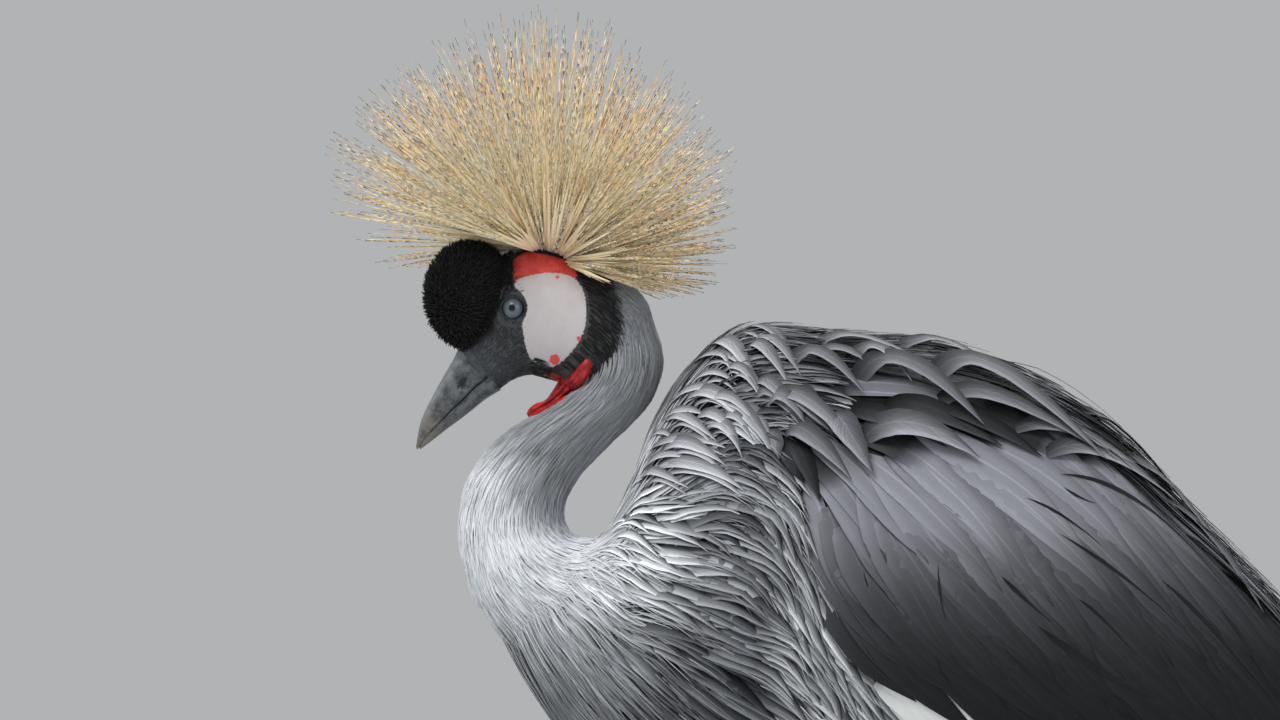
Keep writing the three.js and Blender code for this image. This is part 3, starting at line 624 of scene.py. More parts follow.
def feather(
    draft: Draft, threads: Threads, half: Array | float, cut: Cut, tint: Array, rng: Rng,
    twist: Optional[Array] = None,
) -> None:
    """Adds one closed feather for each line to a mesh.

    Args:
        draft: The mesh.
        threads: Lines of the feathers.
        half: Greatest half width of each feather in mm.
        cut: Shape of the feathers.
        tint: Colour of each feather, or of each of its rings.
        rng: Source of random numbers.
        twist: Turn about the line at each ring, in radians.
    """
    centres = threads.centres
    lines, rings, _ = centres.shape
    run = unit(np.gradient(centres, axis=1))
    up = threads.ups + cut.lean * UP
    if twist is not None:
        side = unit(np.cross(run, up))
        up = unit(np.cross(side, run))
        up = up * np.cos(twist)[..., None] + side * np.sin(twist)[..., None]
    side = unit(np.cross(run, up))
    up = unit(np.cross(side, run))
    upward = -np.sign(side[:, :, 2].sum(axis=1))[:, None, None]
    shares = np.linspace(0.0, 1.0, rings)
    width = np.broadcast_to(half, lines)[:, None] * MM * profile(cut.widths, shares)
    across, above = np.array(cut.section.value).T
    edge = np.ones((lines, rings, len(across)))
    if cut.notch:
        ragged = 1.0 - cut.notch * rng.random((lines, rings, 2)) ** 3
        edge[:, :, across < -0.9] = ragged[..., :1]
        edge[:, :, across > 0.9] = ragged[..., 1:]
    reach = width[..., None] * across * edge
    lift = 0.5 * cut.thick * MM * above * np.sqrt(profile([1.0, 1.0, 0.8, 0.4], shares))[:, None]
    lift = lift - cut.bow * width[..., None] * across ** 2
    points = centres[:, :, None, :] + side[:, :, None, :] * reach[..., None]
    points = points + up[:, :, None, :] * lift[..., None]
    along = np.broadcast_to(shares[None, :, None], reach.shape)
    # across runs from -1 on each feather's upper edge to 1 on its lower edge; plume_tone paints its highlight
    # near 1 and its shade towards -1.
    sideways = across * upward * np.ones_like(reach)
    colour = np.broadcast_to((tint[:, None, :] if tint.ndim == 2 else tint)[:, :, None, :], points.shape)
    uv = threads.roots[:, None, None, :] + np.stack([along - 0.5, 0.5 * sideways], axis=-1) * BAKE_PATCH
    draft.add(points, ring_faces(lines, rings, len(across)), along=along, across=sideways, tint=colour, uv=uv)


def fade(dark: Array | Colour, light: Array | Colour, share: Array) -> Array:
    """Colour between two for each share."""
    share = np.asarray(share)[..., None]
    return np.asarray(dark) * (1.0 - share) + np.asarray(light) * share


def shade(base: Colour, amount: Array) -> Array:
    """Colour scaled by an amount for each feather."""
    return fade((0.0, 0.0, 0.0), base, amount)


def line_gap(ends: Sequence[tuple[Array, Array]], x: Array, y: Array) -> Array:
    """Distance from places on the sheet to the nearest of some straight lines.

    Args:
        ends: Both ends of each line.
        x: Places along the sheet.
        y: Places down the sheet.

    Returns:
        Distances in sheet steps.
    """
    nearest = np.full(x.shape, 1e9)
    for (ax, ay), (bx, by) in ends:
        dx, dy = bx - ax, by - ay
        share = np.clip(((x - ax) * dx + (y - ay) * dy) / (dx * dx + dy * dy), 0.0, 1.0)
        nearest = np.minimum(nearest, np.hypot(x - ax - share * dx, y - ay - share * dy))
    return nearest


def distance_to_line(points: Rows, x: Array, y: Array) -> Array:
    """Distance to an open line on the sheet, in sheet steps."""
    return line_gap(list(zip(points[:-1], points[1:])), x, y)


def outline_depth(points: Rows, x: Array, y: Array) -> Array:
    """Distance into a closed outline on the sheet, negative outside, in sheet steps.

    Args:
        points: Corners of the outline.
        x: Places along the sheet.
        y: Places down the sheet.

    Returns:
        Depths in sheet steps.
    """
    corners = np.array(points, float)
    ends = list(zip(corners, np.roll(corners, -1, axis=0)))
    inside = np.zeros(x.shape, bool)
    for (ax, ay), (bx, by) in ends:
        if ay != by:
            inside ^= ((ay > y) != (by > y)) & (x < ax + (y - ay) * (bx - ax) / (by - ay))
    nearest = line_gap(ends, x, y)
    return np.where(inside, nearest, -nearest)


def rounded(points: Rows, passes: int) -> Array:
    """Closed outline with its corners cut round.

    Args:
        points: Corners of the outline.
        passes: Number of times the corners are cut.

    Returns:
        Corners of the rounded outline.
    """
    corners = np.array(points, float)
    for _ in range(passes):
        after = np.roll(corners, -1, axis=0)
        corners = np.stack([0.75 * corners + 0.25 * after, 0.25 * corners + 0.75 * after], axis=1)
        corners = corners.reshape(-1, 2)
    return corners


def steps(count: int) -> Array:
    """Even steps from 0 to 1."""
    return np.linspace(0.0, 1.0, count)


def turns(count: int) -> Array:
    """Angles round a circle in even steps."""
    return np.arange(count) * 2.0 * math.pi / count


# Node groups and materials
class Graph:
    """Short way to place and join nodes in one tree."""

    def __init__(self, tree: bpy.types.NodeTree) -> None:
        """Keeps the tree that the nodes go into."""
        self.tree = tree

    def fill(self, node: bpy.types.Node, inputs: dict[str | int, object]) -> None:
        """Feeds inputs of a node, each with a socket, a number or a colour.

        Args:
            node: The node.
            inputs: What feeds each input, by name or number.
        """
        for key, value in inputs.items():
            target = node.inputs[key]
            if isinstance(value, Socket):
                self.tree.links.new(value, target)
            else:
                target.default_value = (*value, 1.0) if target.type == "RGBA" else value

    def add(
        self, kind: str, inputs: Optional[dict[str | int, object]] = None, **settings: object,
    ) -> bpy.types.NodeOutputs:
        """Adds a shader node, sets its properties, feeds its inputs and returns its outputs.

        Args:
            kind: Kind of node.
            inputs: What feeds each input, by name or number.
            settings: Properties of the node.

        Returns:
            Its outputs.
        """
        node = self.tree.nodes.new("ShaderNode" + kind)
        for name, value in settings.items():
            setattr(node, name, value)
        self.fill(node, inputs or {})
        return node.outputs

    def math(self, operation: str, a: object, b: object = 0.0, c: object = 0.0) -> Socket:
        """Adds a Math node and returns its value."""
        return self.add("Math", {0: a, 1: b, 2: c}, operation=operation)[0]

    def times(self, a: object, b: object, plus: Optional[object] = None) -> Socket:
        """Product of two values, with a third one added where it is given."""
        return self.math("MULTIPLY", a, b) if plus is None else self.math("MULTIPLY_ADD", a, b, plus)

    def smooth(self, value: Socket, low: float, high: float) -> Socket:
        """Adds a smooth step of a value from 0 at low to 1 at high; low may be the greater.

        Args:
            value: The value to step.
            low: Value at which the step is 0.
            high: Value at which it is 1.

        Returns:
            The stepped value.
        """
        ends = {"From Min": min(low, high), "From Max": max(low, high)}
        levels = {"To Min": float(low > high), "To Max": float(low < high)}
        step = {"Value": value, **ends, **levels}
        return self.add("MapRange", step, interpolation_type="SMOOTHSTEP")["Result"]

    def blend(self, share: object, low: object, high: object) -> Socket:
        """Adds a colour mix and returns its colour."""
        return self.add("Mix", {"Factor": share, 6: low, 7: high}, data_type="RGBA")[2]

    def read(self, name: str, output: str = "Fac") -> Socket:
        """Reads a number, or a colour by the output Color, kept on the mesh."""
        return self.add("Attribute", attribute_name=name)[output]

    def noise(self, place: Socket, scale: object, **inputs: float) -> Socket:
        """Adds noise at a place and returns its value."""
        return self.add("TexNoise", {"Vector": place, "Scale": scale, **inputs})["Fac"]

    def grain(self, scale: float, detail: float, stretch: Sequence[float] = (1.0, 1.0, 1.0)) -> Socket:
        """Adds noise in the object's own space, stretched along its axes."""
        fit = self.add("Mapping", {"Vector": self.add("TexCoord")["Object"], "Scale": stretch})
        return self.noise(fit["Vector"], scale, Detail=detail)

    def group(self, tree: bpy.types.NodeTree, inputs: dict[str, object]) -> bpy.types.NodeOutputs:
        """Adds a group and returns its outputs."""
        return self.add("Group", inputs, node_tree=tree)

    def shader(
        self, inputs: dict[str, object], height: Optional[Socket] = None, strength: float = 0.0,
        distance: float = 0.4 * MM,
    ) -> None:
        """Feeds the material's shader, with a bump before its normal where a height is given.

        Args:
            inputs: What feeds each input.
            height: Height that makes the bump.
            strength: Strength of the bump.
            distance: Depth of the bump in metres.
        """
        if height is not None:
            relief = {"Height": height, "Strength": strength, "Distance": distance}
            inputs = {**inputs, "Normal": self.add("Bump", relief)["Normal"]}
        self.fill(self.tree.nodes["Principled BSDF"], inputs)


def new_group(
    name: str, inputs: dict[str, float], outputs: dict[str, str],
) -> tuple[Graph, bpy.types.NodeOutputs, bpy.types.Node]:
    """Starts a shader node group.

    Args:
        name: Name of the group.
        inputs: First value of each number that comes in, by name.
        outputs: Kind of each output, by name.

    Returns:
        The group's graph, the sockets that come in and the node that takes what goes out.
    """
    tree = bpy.data.node_groups.new(name, "ShaderNodeTree")
    for label, value in inputs.items():
        socket = tree.interface.new_socket(name=label, in_out="INPUT", socket_type="NodeSocketFloat")
        socket.default_value = value
    for label, kind in outputs.items():
        tree.interface.new_socket(name=label, in_out="OUTPUT", socket_type="NodeSocket" + kind)
    return Graph(tree), tree.nodes.new("NodeGroupInput").outputs, tree.nodes.new("NodeGroupOutput")


BARB_INPUTS = ("Across", "Along", "Slant")
PLUME_INPUTS = ("Shaft", "Edge", "Shade", "Shade From", "Root", "Tip", "Streak", "Barb")


@dataclass
class Groups:
    """Node groups that the finishes share."""

    barbs: bpy.types.NodeTree
    plume: bpy.types.NodeTree
    hide: bpy.types.NodeTree
    wear: bpy.types.NodeTree

    @staticmethod
    def make() -> "Groups":
        """Builds each group once."""
        return Groups(Groups.barb_lines(), Groups.plume_tone(), Groups.scaly_hide(), Groups.worn_mottle())

    @staticmethod
    def barb_lines() -> bpy.types.NodeTree:
        """Fine barbs: lines at chosen rates across, along and slanting off the shaft.

        Returns:
            The group.
        """
        graph, given, out = new_group("barb_lines", dict.fromkeys(BARB_INPUTS, 0.0), {"Height": "Float"})
        along, across = graph.read("along"), graph.read("across")
        split = graph.add("SeparateColor", {0: graph.read("tint", "Color")})
        line = graph.times(along, given["Along"], graph.times(across, given["Across"]))
        line = graph.times(graph.math("ABSOLUTE", across), given["Slant"], line)
        place = graph.add("CombineXYZ", {0: line, 1: graph.times(split[0], 900.0, along)})
        fine = graph.noise(place[0], 1.0, Detail=3.0, Roughness=0.65)
        graph.fill(out, {"Height": graph.smooth(fine, 0.3, 0.7)})
        return graph.tree

    @staticmethod
    def plume_tone() -> bpy.types.NodeTree:
        """Feather colour from its tint, barbs and shaft, with a painted highlight on the free lower edge,
        painted shade over the upper part and at the root, and dark tips.

        Returns:
            The group.
        """
        graph, given, out = new_group(
            "plume_tone", dict.fromkeys(PLUME_INPUTS, 0.0), {"Color": "Color", "Edge": "Float"},
        )
        along, across = graph.read("along"), graph.read("across")
        # Painted highlight along the feather's free lower edge.
        bright = graph.smooth(across, 0.4, 0.9)
        shaft = graph.smooth(graph.math("ABSOLUTE", across), 0.11, 0.03)
        streak = graph.times(given["Barb"], 2.0, -1.0)
        gain = graph.times(bright, given["Edge"], 1.0)
        gain = graph.times(shaft, given["Shaft"], gain)
        gain = graph.times(streak, given["Streak"], gain)
        # Painted shade over the feather's upper part, past Shade From, and at its root.
        above = {"Value": graph.times(across, -1.0), "From Min": given["Shade From"]}
        high = graph.add("MapRange", above, interpolation_type="SMOOTHSTEP")
        upper = graph.times(high["Result"], given["Shade"])
        root_shade = graph.times(graph.smooth(along, 0.5, 0.05), given["Root"])
        for dark in (upper, root_shade):
            gain = graph.times(gain, graph.math("SUBTRACT", 1.0, dark))
        toned = graph.add("VectorMath", {0: graph.read("tint", "Color"), "Scale": gain}, operation="SCALE")
        tipped = graph.times(graph.smooth(along, 0.8, 1.0), given["Tip"])
        graph.fill(out, {"Color": graph.blend(tipped, toned[0], (0.008, 0.008, 0.009)), "Edge": bright})
        return graph.tree

    @staticmethod
    def scaly_hide() -> bpy.types.NodeTree:
        """Small horny scales with sunk joints.

        Returns:
            The group.
        """
        graph, given, out = new_group("scaly_hide", {"Scale": 380.0}, {"Height": "Float", "Joint": "Float"})
        where = {"Vector": graph.add("TexCoord")["Object"], "Scale": given["Scale"]}
        cells = graph.add("TexVoronoi", where, feature="DISTANCE_TO_EDGE")
        raised = graph.smooth(cells["Distance"], 0.0, 0.22)
        graph.fill(out, {"Height": raised, "Joint": graph.math("SUBTRACT", 1.0, raised)})
        return graph.tree

    @staticmethod
    def worn_mottle() -> bpy.types.NodeTree:
        """Uneven tone of horn and bare skin at two sizes.

        Returns:
            The group.
        """
        graph, given, out = new_group("worn_mottle", {"Scale": 120.0}, {"Mask": "Float", "Height": "Float"})
        place = graph.add("TexCoord")["Object"]
        large = graph.noise(place, given["Scale"])
        small = graph.noise(place, graph.times(given["Scale"], 6.0))
        mask = graph.times(small, 0.35, graph.times(large, 0.65))
        graph.fill(out, {"Mask": graph.smooth(mask, 0.38, 0.62), "Height": small})
        return graph.tree


class Finish:
    """Finish of a surface, made into one material."""

    name: str

    def draw(self, graph: Graph, groups: Groups) -> None:
        """Places the finish's nodes."""
        raise NotImplementedError

    def material(self, groups: Groups) -> Material:
        """Makes the material from one shader and the finish's nodes.

        Args:
            groups: The shared node groups.

        Returns:
            The material.
        """
        made = bpy.data.materials.new(self.name)
        made.use_nodes = True
        self.draw(Graph(made.node_tree), groups)
        return made


@dataclass(frozen=True)
class PlumeFinish(Finish):
    """Finish of one kind of feather; edge sets the painted highlight on its lower edge, and shade, shade_from
    and root set the painted shade over its upper part and at its root.
    """

    name: str
    shaft: float = 0.25
    edge: float = 0.2
    shade: float = 0.3
    shade_from: float = 0.5
    root: float = 0.5
    tip: float = 0.0
    streak: float = 0.1
    weave: tuple[float, float, float] = (0.0, 45.0, -9.0)
    relief: float = 0.4
    rough: float = 0.6
    sheen: float = 0.1
    gloss: float = 0.3
    glow: float = 0.0

    def draw(self, graph: Graph, groups: Groups) -> None:
        """Places the nodes of one kind of feather.

        Args:
            graph: Graph that takes the nodes.
            groups: The shared node groups.
        """
        barbs = graph.group(groups.barbs, dict(zip(BARB_INPUTS, self.weave)))["Height"]
        values = (self.shaft, self.edge, self.shade, self.shade_from, self.root, self.tip, self.streak, barbs)
        tone = graph.group(groups.plume, dict(zip(PLUME_INPUTS, values)))
        graph.shader({
            "Base Color": tone["Color"], "Roughness": graph.times(tone["Edge"], -0.08, self.rough),
            "Sheen Weight": self.sheen, "Sheen Roughness": 0.5, "Specular IOR Level": self.gloss,
            "Subsurface Weight": self.glow, "Subsurface Radius": (1.0, 0.8, 0.5), "Subsurface Scale": 0.001,
        }, barbs, self.relief, 0.3 * MM)


# Tones
PALE_GREY, NECK_GREY, MID_GREY = paint(222, 225, 230), paint(190, 194, 201), paint(146, 150, 157)
DULL_GREY, MID_DEEP, HACKLE_DEEP = paint(120, 123, 128), paint(96, 99, 104), paint(44, 47, 53)
# DARK_SLATE_AND_SHADE is the near-black of the ridge's dark feathers and the painted shade of the scapulars'
# bed.
DARK_SLATE_AND_SHADE, COVERT_WHITE, GOLD = paint(9, 9, 10), paint(232, 234, 231), paint(206, 170, 98)
CHESTNUT, INK, VELVET = paint(84, 38, 24), paint(24, 25, 28), paint(15, 15, 16)
STRAW, CREAM = paint(255, 194, 118), paint(255, 232, 190)


@dataclass(frozen=True)
class SkinFinish(Finish):
    """Finish of the bird's skin: bare face, white cheek, red patches and downy body."""

    name: str = "bare_skin_and_down"
    white: Colour = paint(180, 176, 177)
    red: Colour = paint(204, 68, 64)
    red_deep: Colour = paint(178, 44, 42)

    def draw(self, graph: Graph, groups: Groups) -> None:
        """Places the nodes, which read the marks kept on the skin's points.

        Args:
            graph: Graph that takes the nodes.
            groups: The shared node groups.
        """
        mottle = graph.group(groups.wear, {"Scale": 160.0})
        mask = mottle["Mask"]
        fine = graph.grain(900.0, 2.0, (0.35, 1.0, 1.0))
        ragged = graph.times(graph.math("SUBTRACT", fine, 0.5), 0.5)
        tone = graph.blend(graph.times(mask, 0.25), graph.read("tint", "Color"), paint(96, 102, 110))
        red = graph.blend(mask, self.red, self.red_deep)
        white = graph.blend(graph.times(mask, 0.5), self.white, paint(176, 164, 166))
        for mark, soft, colour in (("red", 0.06, red), ("white", 0.06, white), ("spot", 0.1, self.red)):
            inside = graph.smooth(graph.math("ADD", graph.read(mark), ragged), -soft, soft)
            tone = graph.blend(inside, tone, colour)
        wrinkle = graph.math("ADD", graph.times(fine, 0.7), graph.times(mottle["Height"], 0.5))
        graph.shader({
            "Base Color": tone, "Roughness": graph.times(mask, 0.12, 0.5),
            "Subsurface Weight": 0.08, "Subsurface Radius": (0.002, 0.001, 0.0008),
        }, wrinkle, 0.5)


@dataclass(frozen=True)
class HornFinish(Finish):
    """Finish of the bill and the claws."""

    name: str
    dark: Colour
    light: Colour
    worn: Colour
    rough: float = 0.38

    def draw(self, graph: Graph, groups: Groups) -> None:
        """Places the nodes; ridge, tip and pit are kept on the points: ridge paints a highlight along the
        bill's top, pit paints shade in the nostril and along the mouth's line and darkens the lids, and tip
        is wear.

        Args:
            graph: Graph that takes the nodes.
            groups: The shared node groups.
        """
        mottle = graph.group(groups.wear, {"Scale": 210.0})
        mask = mottle["Mask"]
        scratch = graph.grain(1400.0, 3.0, (1.0, 0.25, 0.25))
        tone = graph.blend(graph.times(mask, 0.26), self.dark, self.light)
        # The ridge share is a painted highlight and the pit share is painted shade; the tip share and the
        # scratches are wear.
        for share, colour in (
            (graph.times(graph.read("ridge"), graph.times(mask, 0.3, 0.6)), self.light),
            (graph.times(graph.read("tip"), graph.times(mask, 0.5, 0.45)), self.worn),
            (graph.times(graph.smooth(scratch, 0.62, 0.75), 0.25), self.light),
            (graph.read("pit"), (0.004, 0.004, 0.005)),
        ):
            tone = graph.blend(share, tone, colour)
        height = graph.math("ADD", scratch, mottle["Height"])
        rough = graph.times(mask, 0.18, self.rough)
        graph.shader({"Base Color": tone, "Roughness": rough}, height, 0.25, 0.3 * MM)


@dataclass(frozen=True)
class FleshFinish(Finish):
    """Finish of the red throat wattle."""

    name: str = "red_wattle_skin"
    red: Colour = paint(196, 24, 24)
    deep: Colour = paint(120, 10, 12)
    rim: Colour = paint(236, 120, 104)

    def draw(self, graph: Graph, groups: Groups) -> None:
        """Places the nodes; the pale rim is kept on the points.

        Args:
            graph: Graph that takes the nodes.
            groups: The shared node groups.
        """
        mottle = graph.group(groups.wear, {"Scale": 240.0})
        tone = graph.blend(graph.read("rim"), graph.blend(mottle["Mask"], self.red, self.deep), self.rim)
        graph.shader({
            "Base Color": tone, "Roughness": graph.times(mottle["Mask"], 0.15, 0.42),
            "Subsurface Weight": 0.12, "Subsurface Radius": (0.003, 0.001, 0.0008),
        }, mottle["Height"], 0.6)


@dataclass(frozen=True)
class EyeFinish(Finish):
    """Finish of the eyeball: pupil, blue-grey iris and dark rim."""

    name: str = "pale_blue_grey_eye"
    iris: Colour = paint(94, 104, 112)
    iris_deep: Colour = paint(64, 76, 86)

    def draw(self, graph: Graph, groups: Groups) -> None:
        """Places the nodes; the distance from the pupil's middle is kept on the points.

        Args:
            graph: Graph that takes the nodes.
            groups: Not used.
        """
        out = graph.read("radius")
        fibre = graph.grain(1500.0, 2.0)
        tone = graph.blend(graph.times(fibre, 0.7, graph.smooth(out, 3.4, 5.4)), self.iris, self.iris_deep)
        tone = graph.blend(graph.smooth(out, 2.05, 1.7), tone, (0.006, 0.005, 0.005))
        tone = graph.blend(graph.smooth(out, 5.0, 5.5), tone, (0.01, 0.011, 0.013))
        graph.shader({
            "Base Color": tone, "Roughness": graph.times(fibre, 0.03, 0.06),
            "Specular IOR Level": 0.2, "Coat Weight": 0.5, "Coat Roughness": 0.02,
        })


@dataclass(frozen=True)
class LegFinish(Finish):
    """Finish of the scaly legs and feet."""

    name: str = "black_scaly_leg"
    dark: Colour = paint(30, 31, 34)
    grey: Colour = paint(74, 76, 80)

    def draw(self, graph: Graph, groups: Groups) -> None:
        """Places the nodes; the joints of the front plates are kept on the points.

        Args:
            graph: Graph that takes the nodes.
            groups: The shared node groups.
        """
        scales = graph.group(groups.hide, {"Scale": 420.0})
        mottle = graph.group(groups.wear, {"Scale": 90.0})
        tone = graph.blend(graph.times(mottle["Mask"], 0.6), self.dark, self.grey)
        tone = graph.blend(graph.times(scales["Joint"], 0.45), tone, paint(112, 110, 106))
        tone = graph.blend(graph.times(graph.read("seam"), 0.6), tone, paint(120, 117, 111))
        rough = graph.times(scales["Joint"], 0.3, 0.45)
        graph.shader({"Base Color": tone, "Roughness": rough}, scales["Height"], 0.5)


@dataclass(frozen=True)
class FloorFinish(Finish):
    """Finish of the floor."""

    name: str = "pale_floor"
    tone: Colour = (0.72, 0.73, 0.73)

    def draw(self, graph: Graph, groups: Groups) -> None:
        """Sets the plain tone."""
        graph.shader({"Base Color": self.tone, "Roughness": 0.9})


class Palette:
    """Every material of the bird and the floor, made once."""

    def __init__(self) -> None:
        """Builds the node groups and the materials."""
        groups = Groups.make()
        fibres, fine, hair = (6.0, 1.5, 0.0), (0.0, 130.0, -30.0), (0.0, 6.0, 0.0)

        def plume(*values: object) -> Material:
            """Makes one kind of feather's material."""
            return PlumeFinish(*values).material(groups)

        def horn(*values: object) -> Material:
            """Makes one kind of horn's material."""
            return HornFinish(*values).material(groups)

        # In each feather finish, the edge, shade, shade_from and root values set its painted highlight and
        # painted shade.
        self.neck = plume("neck_hair", 0, 0.1, 0.15, 0.2, 0.2, 0, 0.1, hair, 0.05, 0.6)
        self.hackle = plume("grey_hackle", 0.1, 0.6, 0.95, -0.85, 0.5, 0, 0.25, fibres, 0.5, 0.6, 0.0, 0.1)
        self.slate = plume("slate_feather", 0.3, 0.22, 0.3, 0.3, 0.1, 0, 0.1, fine, 0.2, 0.5, 0.0, 0.12)
        self.curled = plume("curled_feather", 0.3, 0.4, 0.7, -0.9, 0.7, 0, 0.35, fine, 0.4, 0.6, 0.0, 0.08)
        self.white = plume("white_covert", 0.05, 0.03, 0.12, 0.7, 0.1, 0, 0.05, fine, 0.3, 0.6)
        self.gold = plume("gold_plume", 0.2, 0.2, 0.35, 0.2, 0.2, 0, 0.25, fibres, 0.5, 0.6)
        self.chestnut = plume("chestnut_vane", 0.5, 0.1, 0.4, 0.7, 0.3, 0.5, 0.2, fine, 0.4, 0.5)
        self.black = plume("black_vane", 1.2, 0.3, 0.3, 0.7, 0.2, 0, 0.25, fine, 0.4, 0.42)
        self.velvet = plume("black_velvet", 0, 0.2, 0.2, 0.2, 0.4, 0, 0.3, hair, 0.05, 0.9, 0.05)
        self.crest = plume("crest_straw", 0, 0, 0, 0.5, 0.0, 0, 0.0, hair, 0, 0.42, 0.35, 0.2, 0.3)
        self.bill = horn("slate_bill_horn", paint(44, 47, 51), paint(138, 144, 148), paint(104, 98, 86))
        self.claw = horn("black_claw_horn", paint(28, 28, 30), paint(80, 78, 74), paint(96, 90, 82), 0.32)
        finishes = (SkinFinish(), FleshFinish(), EyeFinish(), LegFinish(), FloorFinish())
        made = [finish.material(groups) for finish in finishes]
        self.skin, self.wattle, self.eye, self.leg, self.floor = made


def triangles(piece: bpy.types.Object) -> int:
    """Number of triangles in a piece."""
    return len(piece.data.loops) - 2 * len(piece.data.polygons)


def dress(piece: bpy.types.Object, nodes: Sequence[str] = ()) -> None:
    """Hangs a piece on the bird's one body, hides the solids that it replaces and logs its triangles.

    Args:
        piece: The object.
        nodes: Solids that it replaces.
    """
    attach(piece, "root")
    if nodes:
        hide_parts(*nodes)
    LOG.info("built %s with %d triangles", piece.name, triangles(piece))


def plumage(
    name: str, material: Material, lines: Threads, half: Array | float, cut: Cut, tint: Array,
    rng: Rng, nodes: Sequence[str] = (), twist: Optional[Array] = None,
) -> None:
    """Makes one piece of feathers and dresses the bird in it.

    Args:
        name: Name of the piece.
        material: Its material.
        lines: Lines of the feathers.
        half: Greatest half width of each feather in mm.
        cut: Shape of the feathers.
        tint: Colour of each feather, or of each of its rings.
        rng: Source of random numbers.
        nodes: Solids that the piece replaces.
        twist: Turn about the line at each ring, in radians.
    """
    draft = Draft()
    feather(draft, lines, half, cut, tint, rng, twist)
    dress(draft.build(name, material), nodes)


def pair(*names: str) -> list[str]:
    """Names of the left and right solid of each name."""
    return [f"{name}_{word}" for name in names for _, word in SIDES]


# Outlines and lines of the face on the sheet
WHITE_CHEEK = rounded([
    [516, 279.6], [541.6, 272.6], [562.6, 273.6], [576, 278], [585.6, 294], [587, 314], [584.6, 332],
    [576, 347], [562.6, 362.5], [547.3, 369], [534, 363], [527, 352], [524.4, 335], [521.6, 324],
    [528, 314], [528, 303], [522.4, 293], [514, 287],
], 2)
RED_PATCH = rounded([
    [513, 286], [513, 240], [534, 243], [546, 246], [560, 252], [570, 262], [580, 280], [560, 284],
    [530, 290],
], 1)
VELVET_FACE = [
    [513.5, 286], [507, 298], [496, 316], [484, 335], [473, 347], [455, 356], [425, 356],
    [405, 290], [430, 225], [513.5, 225],
]
WATTLE_FACE = rounded([
    [590, 359], [593, 368], [587, 381], [573, 394], [557, 407], [540, 416], [528, 419], [526, 414],
    [533, 405], [542, 396], [550, 389], [557, 384.5], [552, 379], [542, 375], [542, 371], [551, 371.5],
    [558, 374], [564, 379.5], [570, 376], [577, 368.5], [585, 358],
], 2)
SPOTS = ((555, 359.5, 5.2), (557.8, 277.4, 2.0), (579, 338.6, 2.4))
MOUTH = ((526, 351), (513, 357), (496, 371), (484, 380))
CREST_FOOT = ((512, 247), (548, 251), (570, 258), (584, 268))
EYE_X, EYE_Y = 513.8, 308.6
MARK_SOFT = 8.0


def face_marks(points: Array) -> dict[str, Array]:
    """Masks of the face's markings, above 0 inside each, for the skin and its coat alike.

    Args:
        points: Points in the row frame.

    Returns:
        One mask for each marking, by its name.
    """
    x, y = sheet_of(points)
    outside = 2.0 * (ease(5 * MM, 9 * MM, np.abs(points[..., 0])) - 1.0)
    masks = {
        "white": outline_depth(WHITE_CHEEK, x, y) / MARK_SOFT,
        "red": outline_depth(RED_PATCH, x, y) / MARK_SOFT,
        "spot": np.max([1.0 - np.hypot(x - at_x, y - at_y) / size for at_x, at_y, size in SPOTS], axis=0),
    }
    marks = {name: np.clip(mask + outside, -1, 1) for name, mask in masks.items()}
    return {**marks, "velvet": outline_depth(VELVET_FACE, x, y) / MARK_SOFT}


def band_share(points: Array) -> Array:
    """How black the feathers are behind the cheek and under the chin, from 1 to 0.

    Args:
        points: Points in the row frame.

    Returns:
        Shares from 1 to 0.
    """
    x, y = sheet_of(points)
    reach = np.interp(y, [240, 300, 330, 370, 400], [16, 20, 24, 26, 10])
    return ease(1.0, 0.0, (-outline_depth(WHITE_CHEEK, x, y) - reach) / 12.0)


def skin_surface(t: Array, degrees: Array, height: Array) -> Array:
    """Skin without its finer relief, inside the coat, at a height over it."""
    depth = np.interp(t, [0, 6.4, 8.0, 10, 18, 21, 24, 34], [0.2, 0.3, 1.6, 2.6, 2.8, 2.2, 1.2, 1.2]) * MM
    return BODY(t, degrees, height - depth)


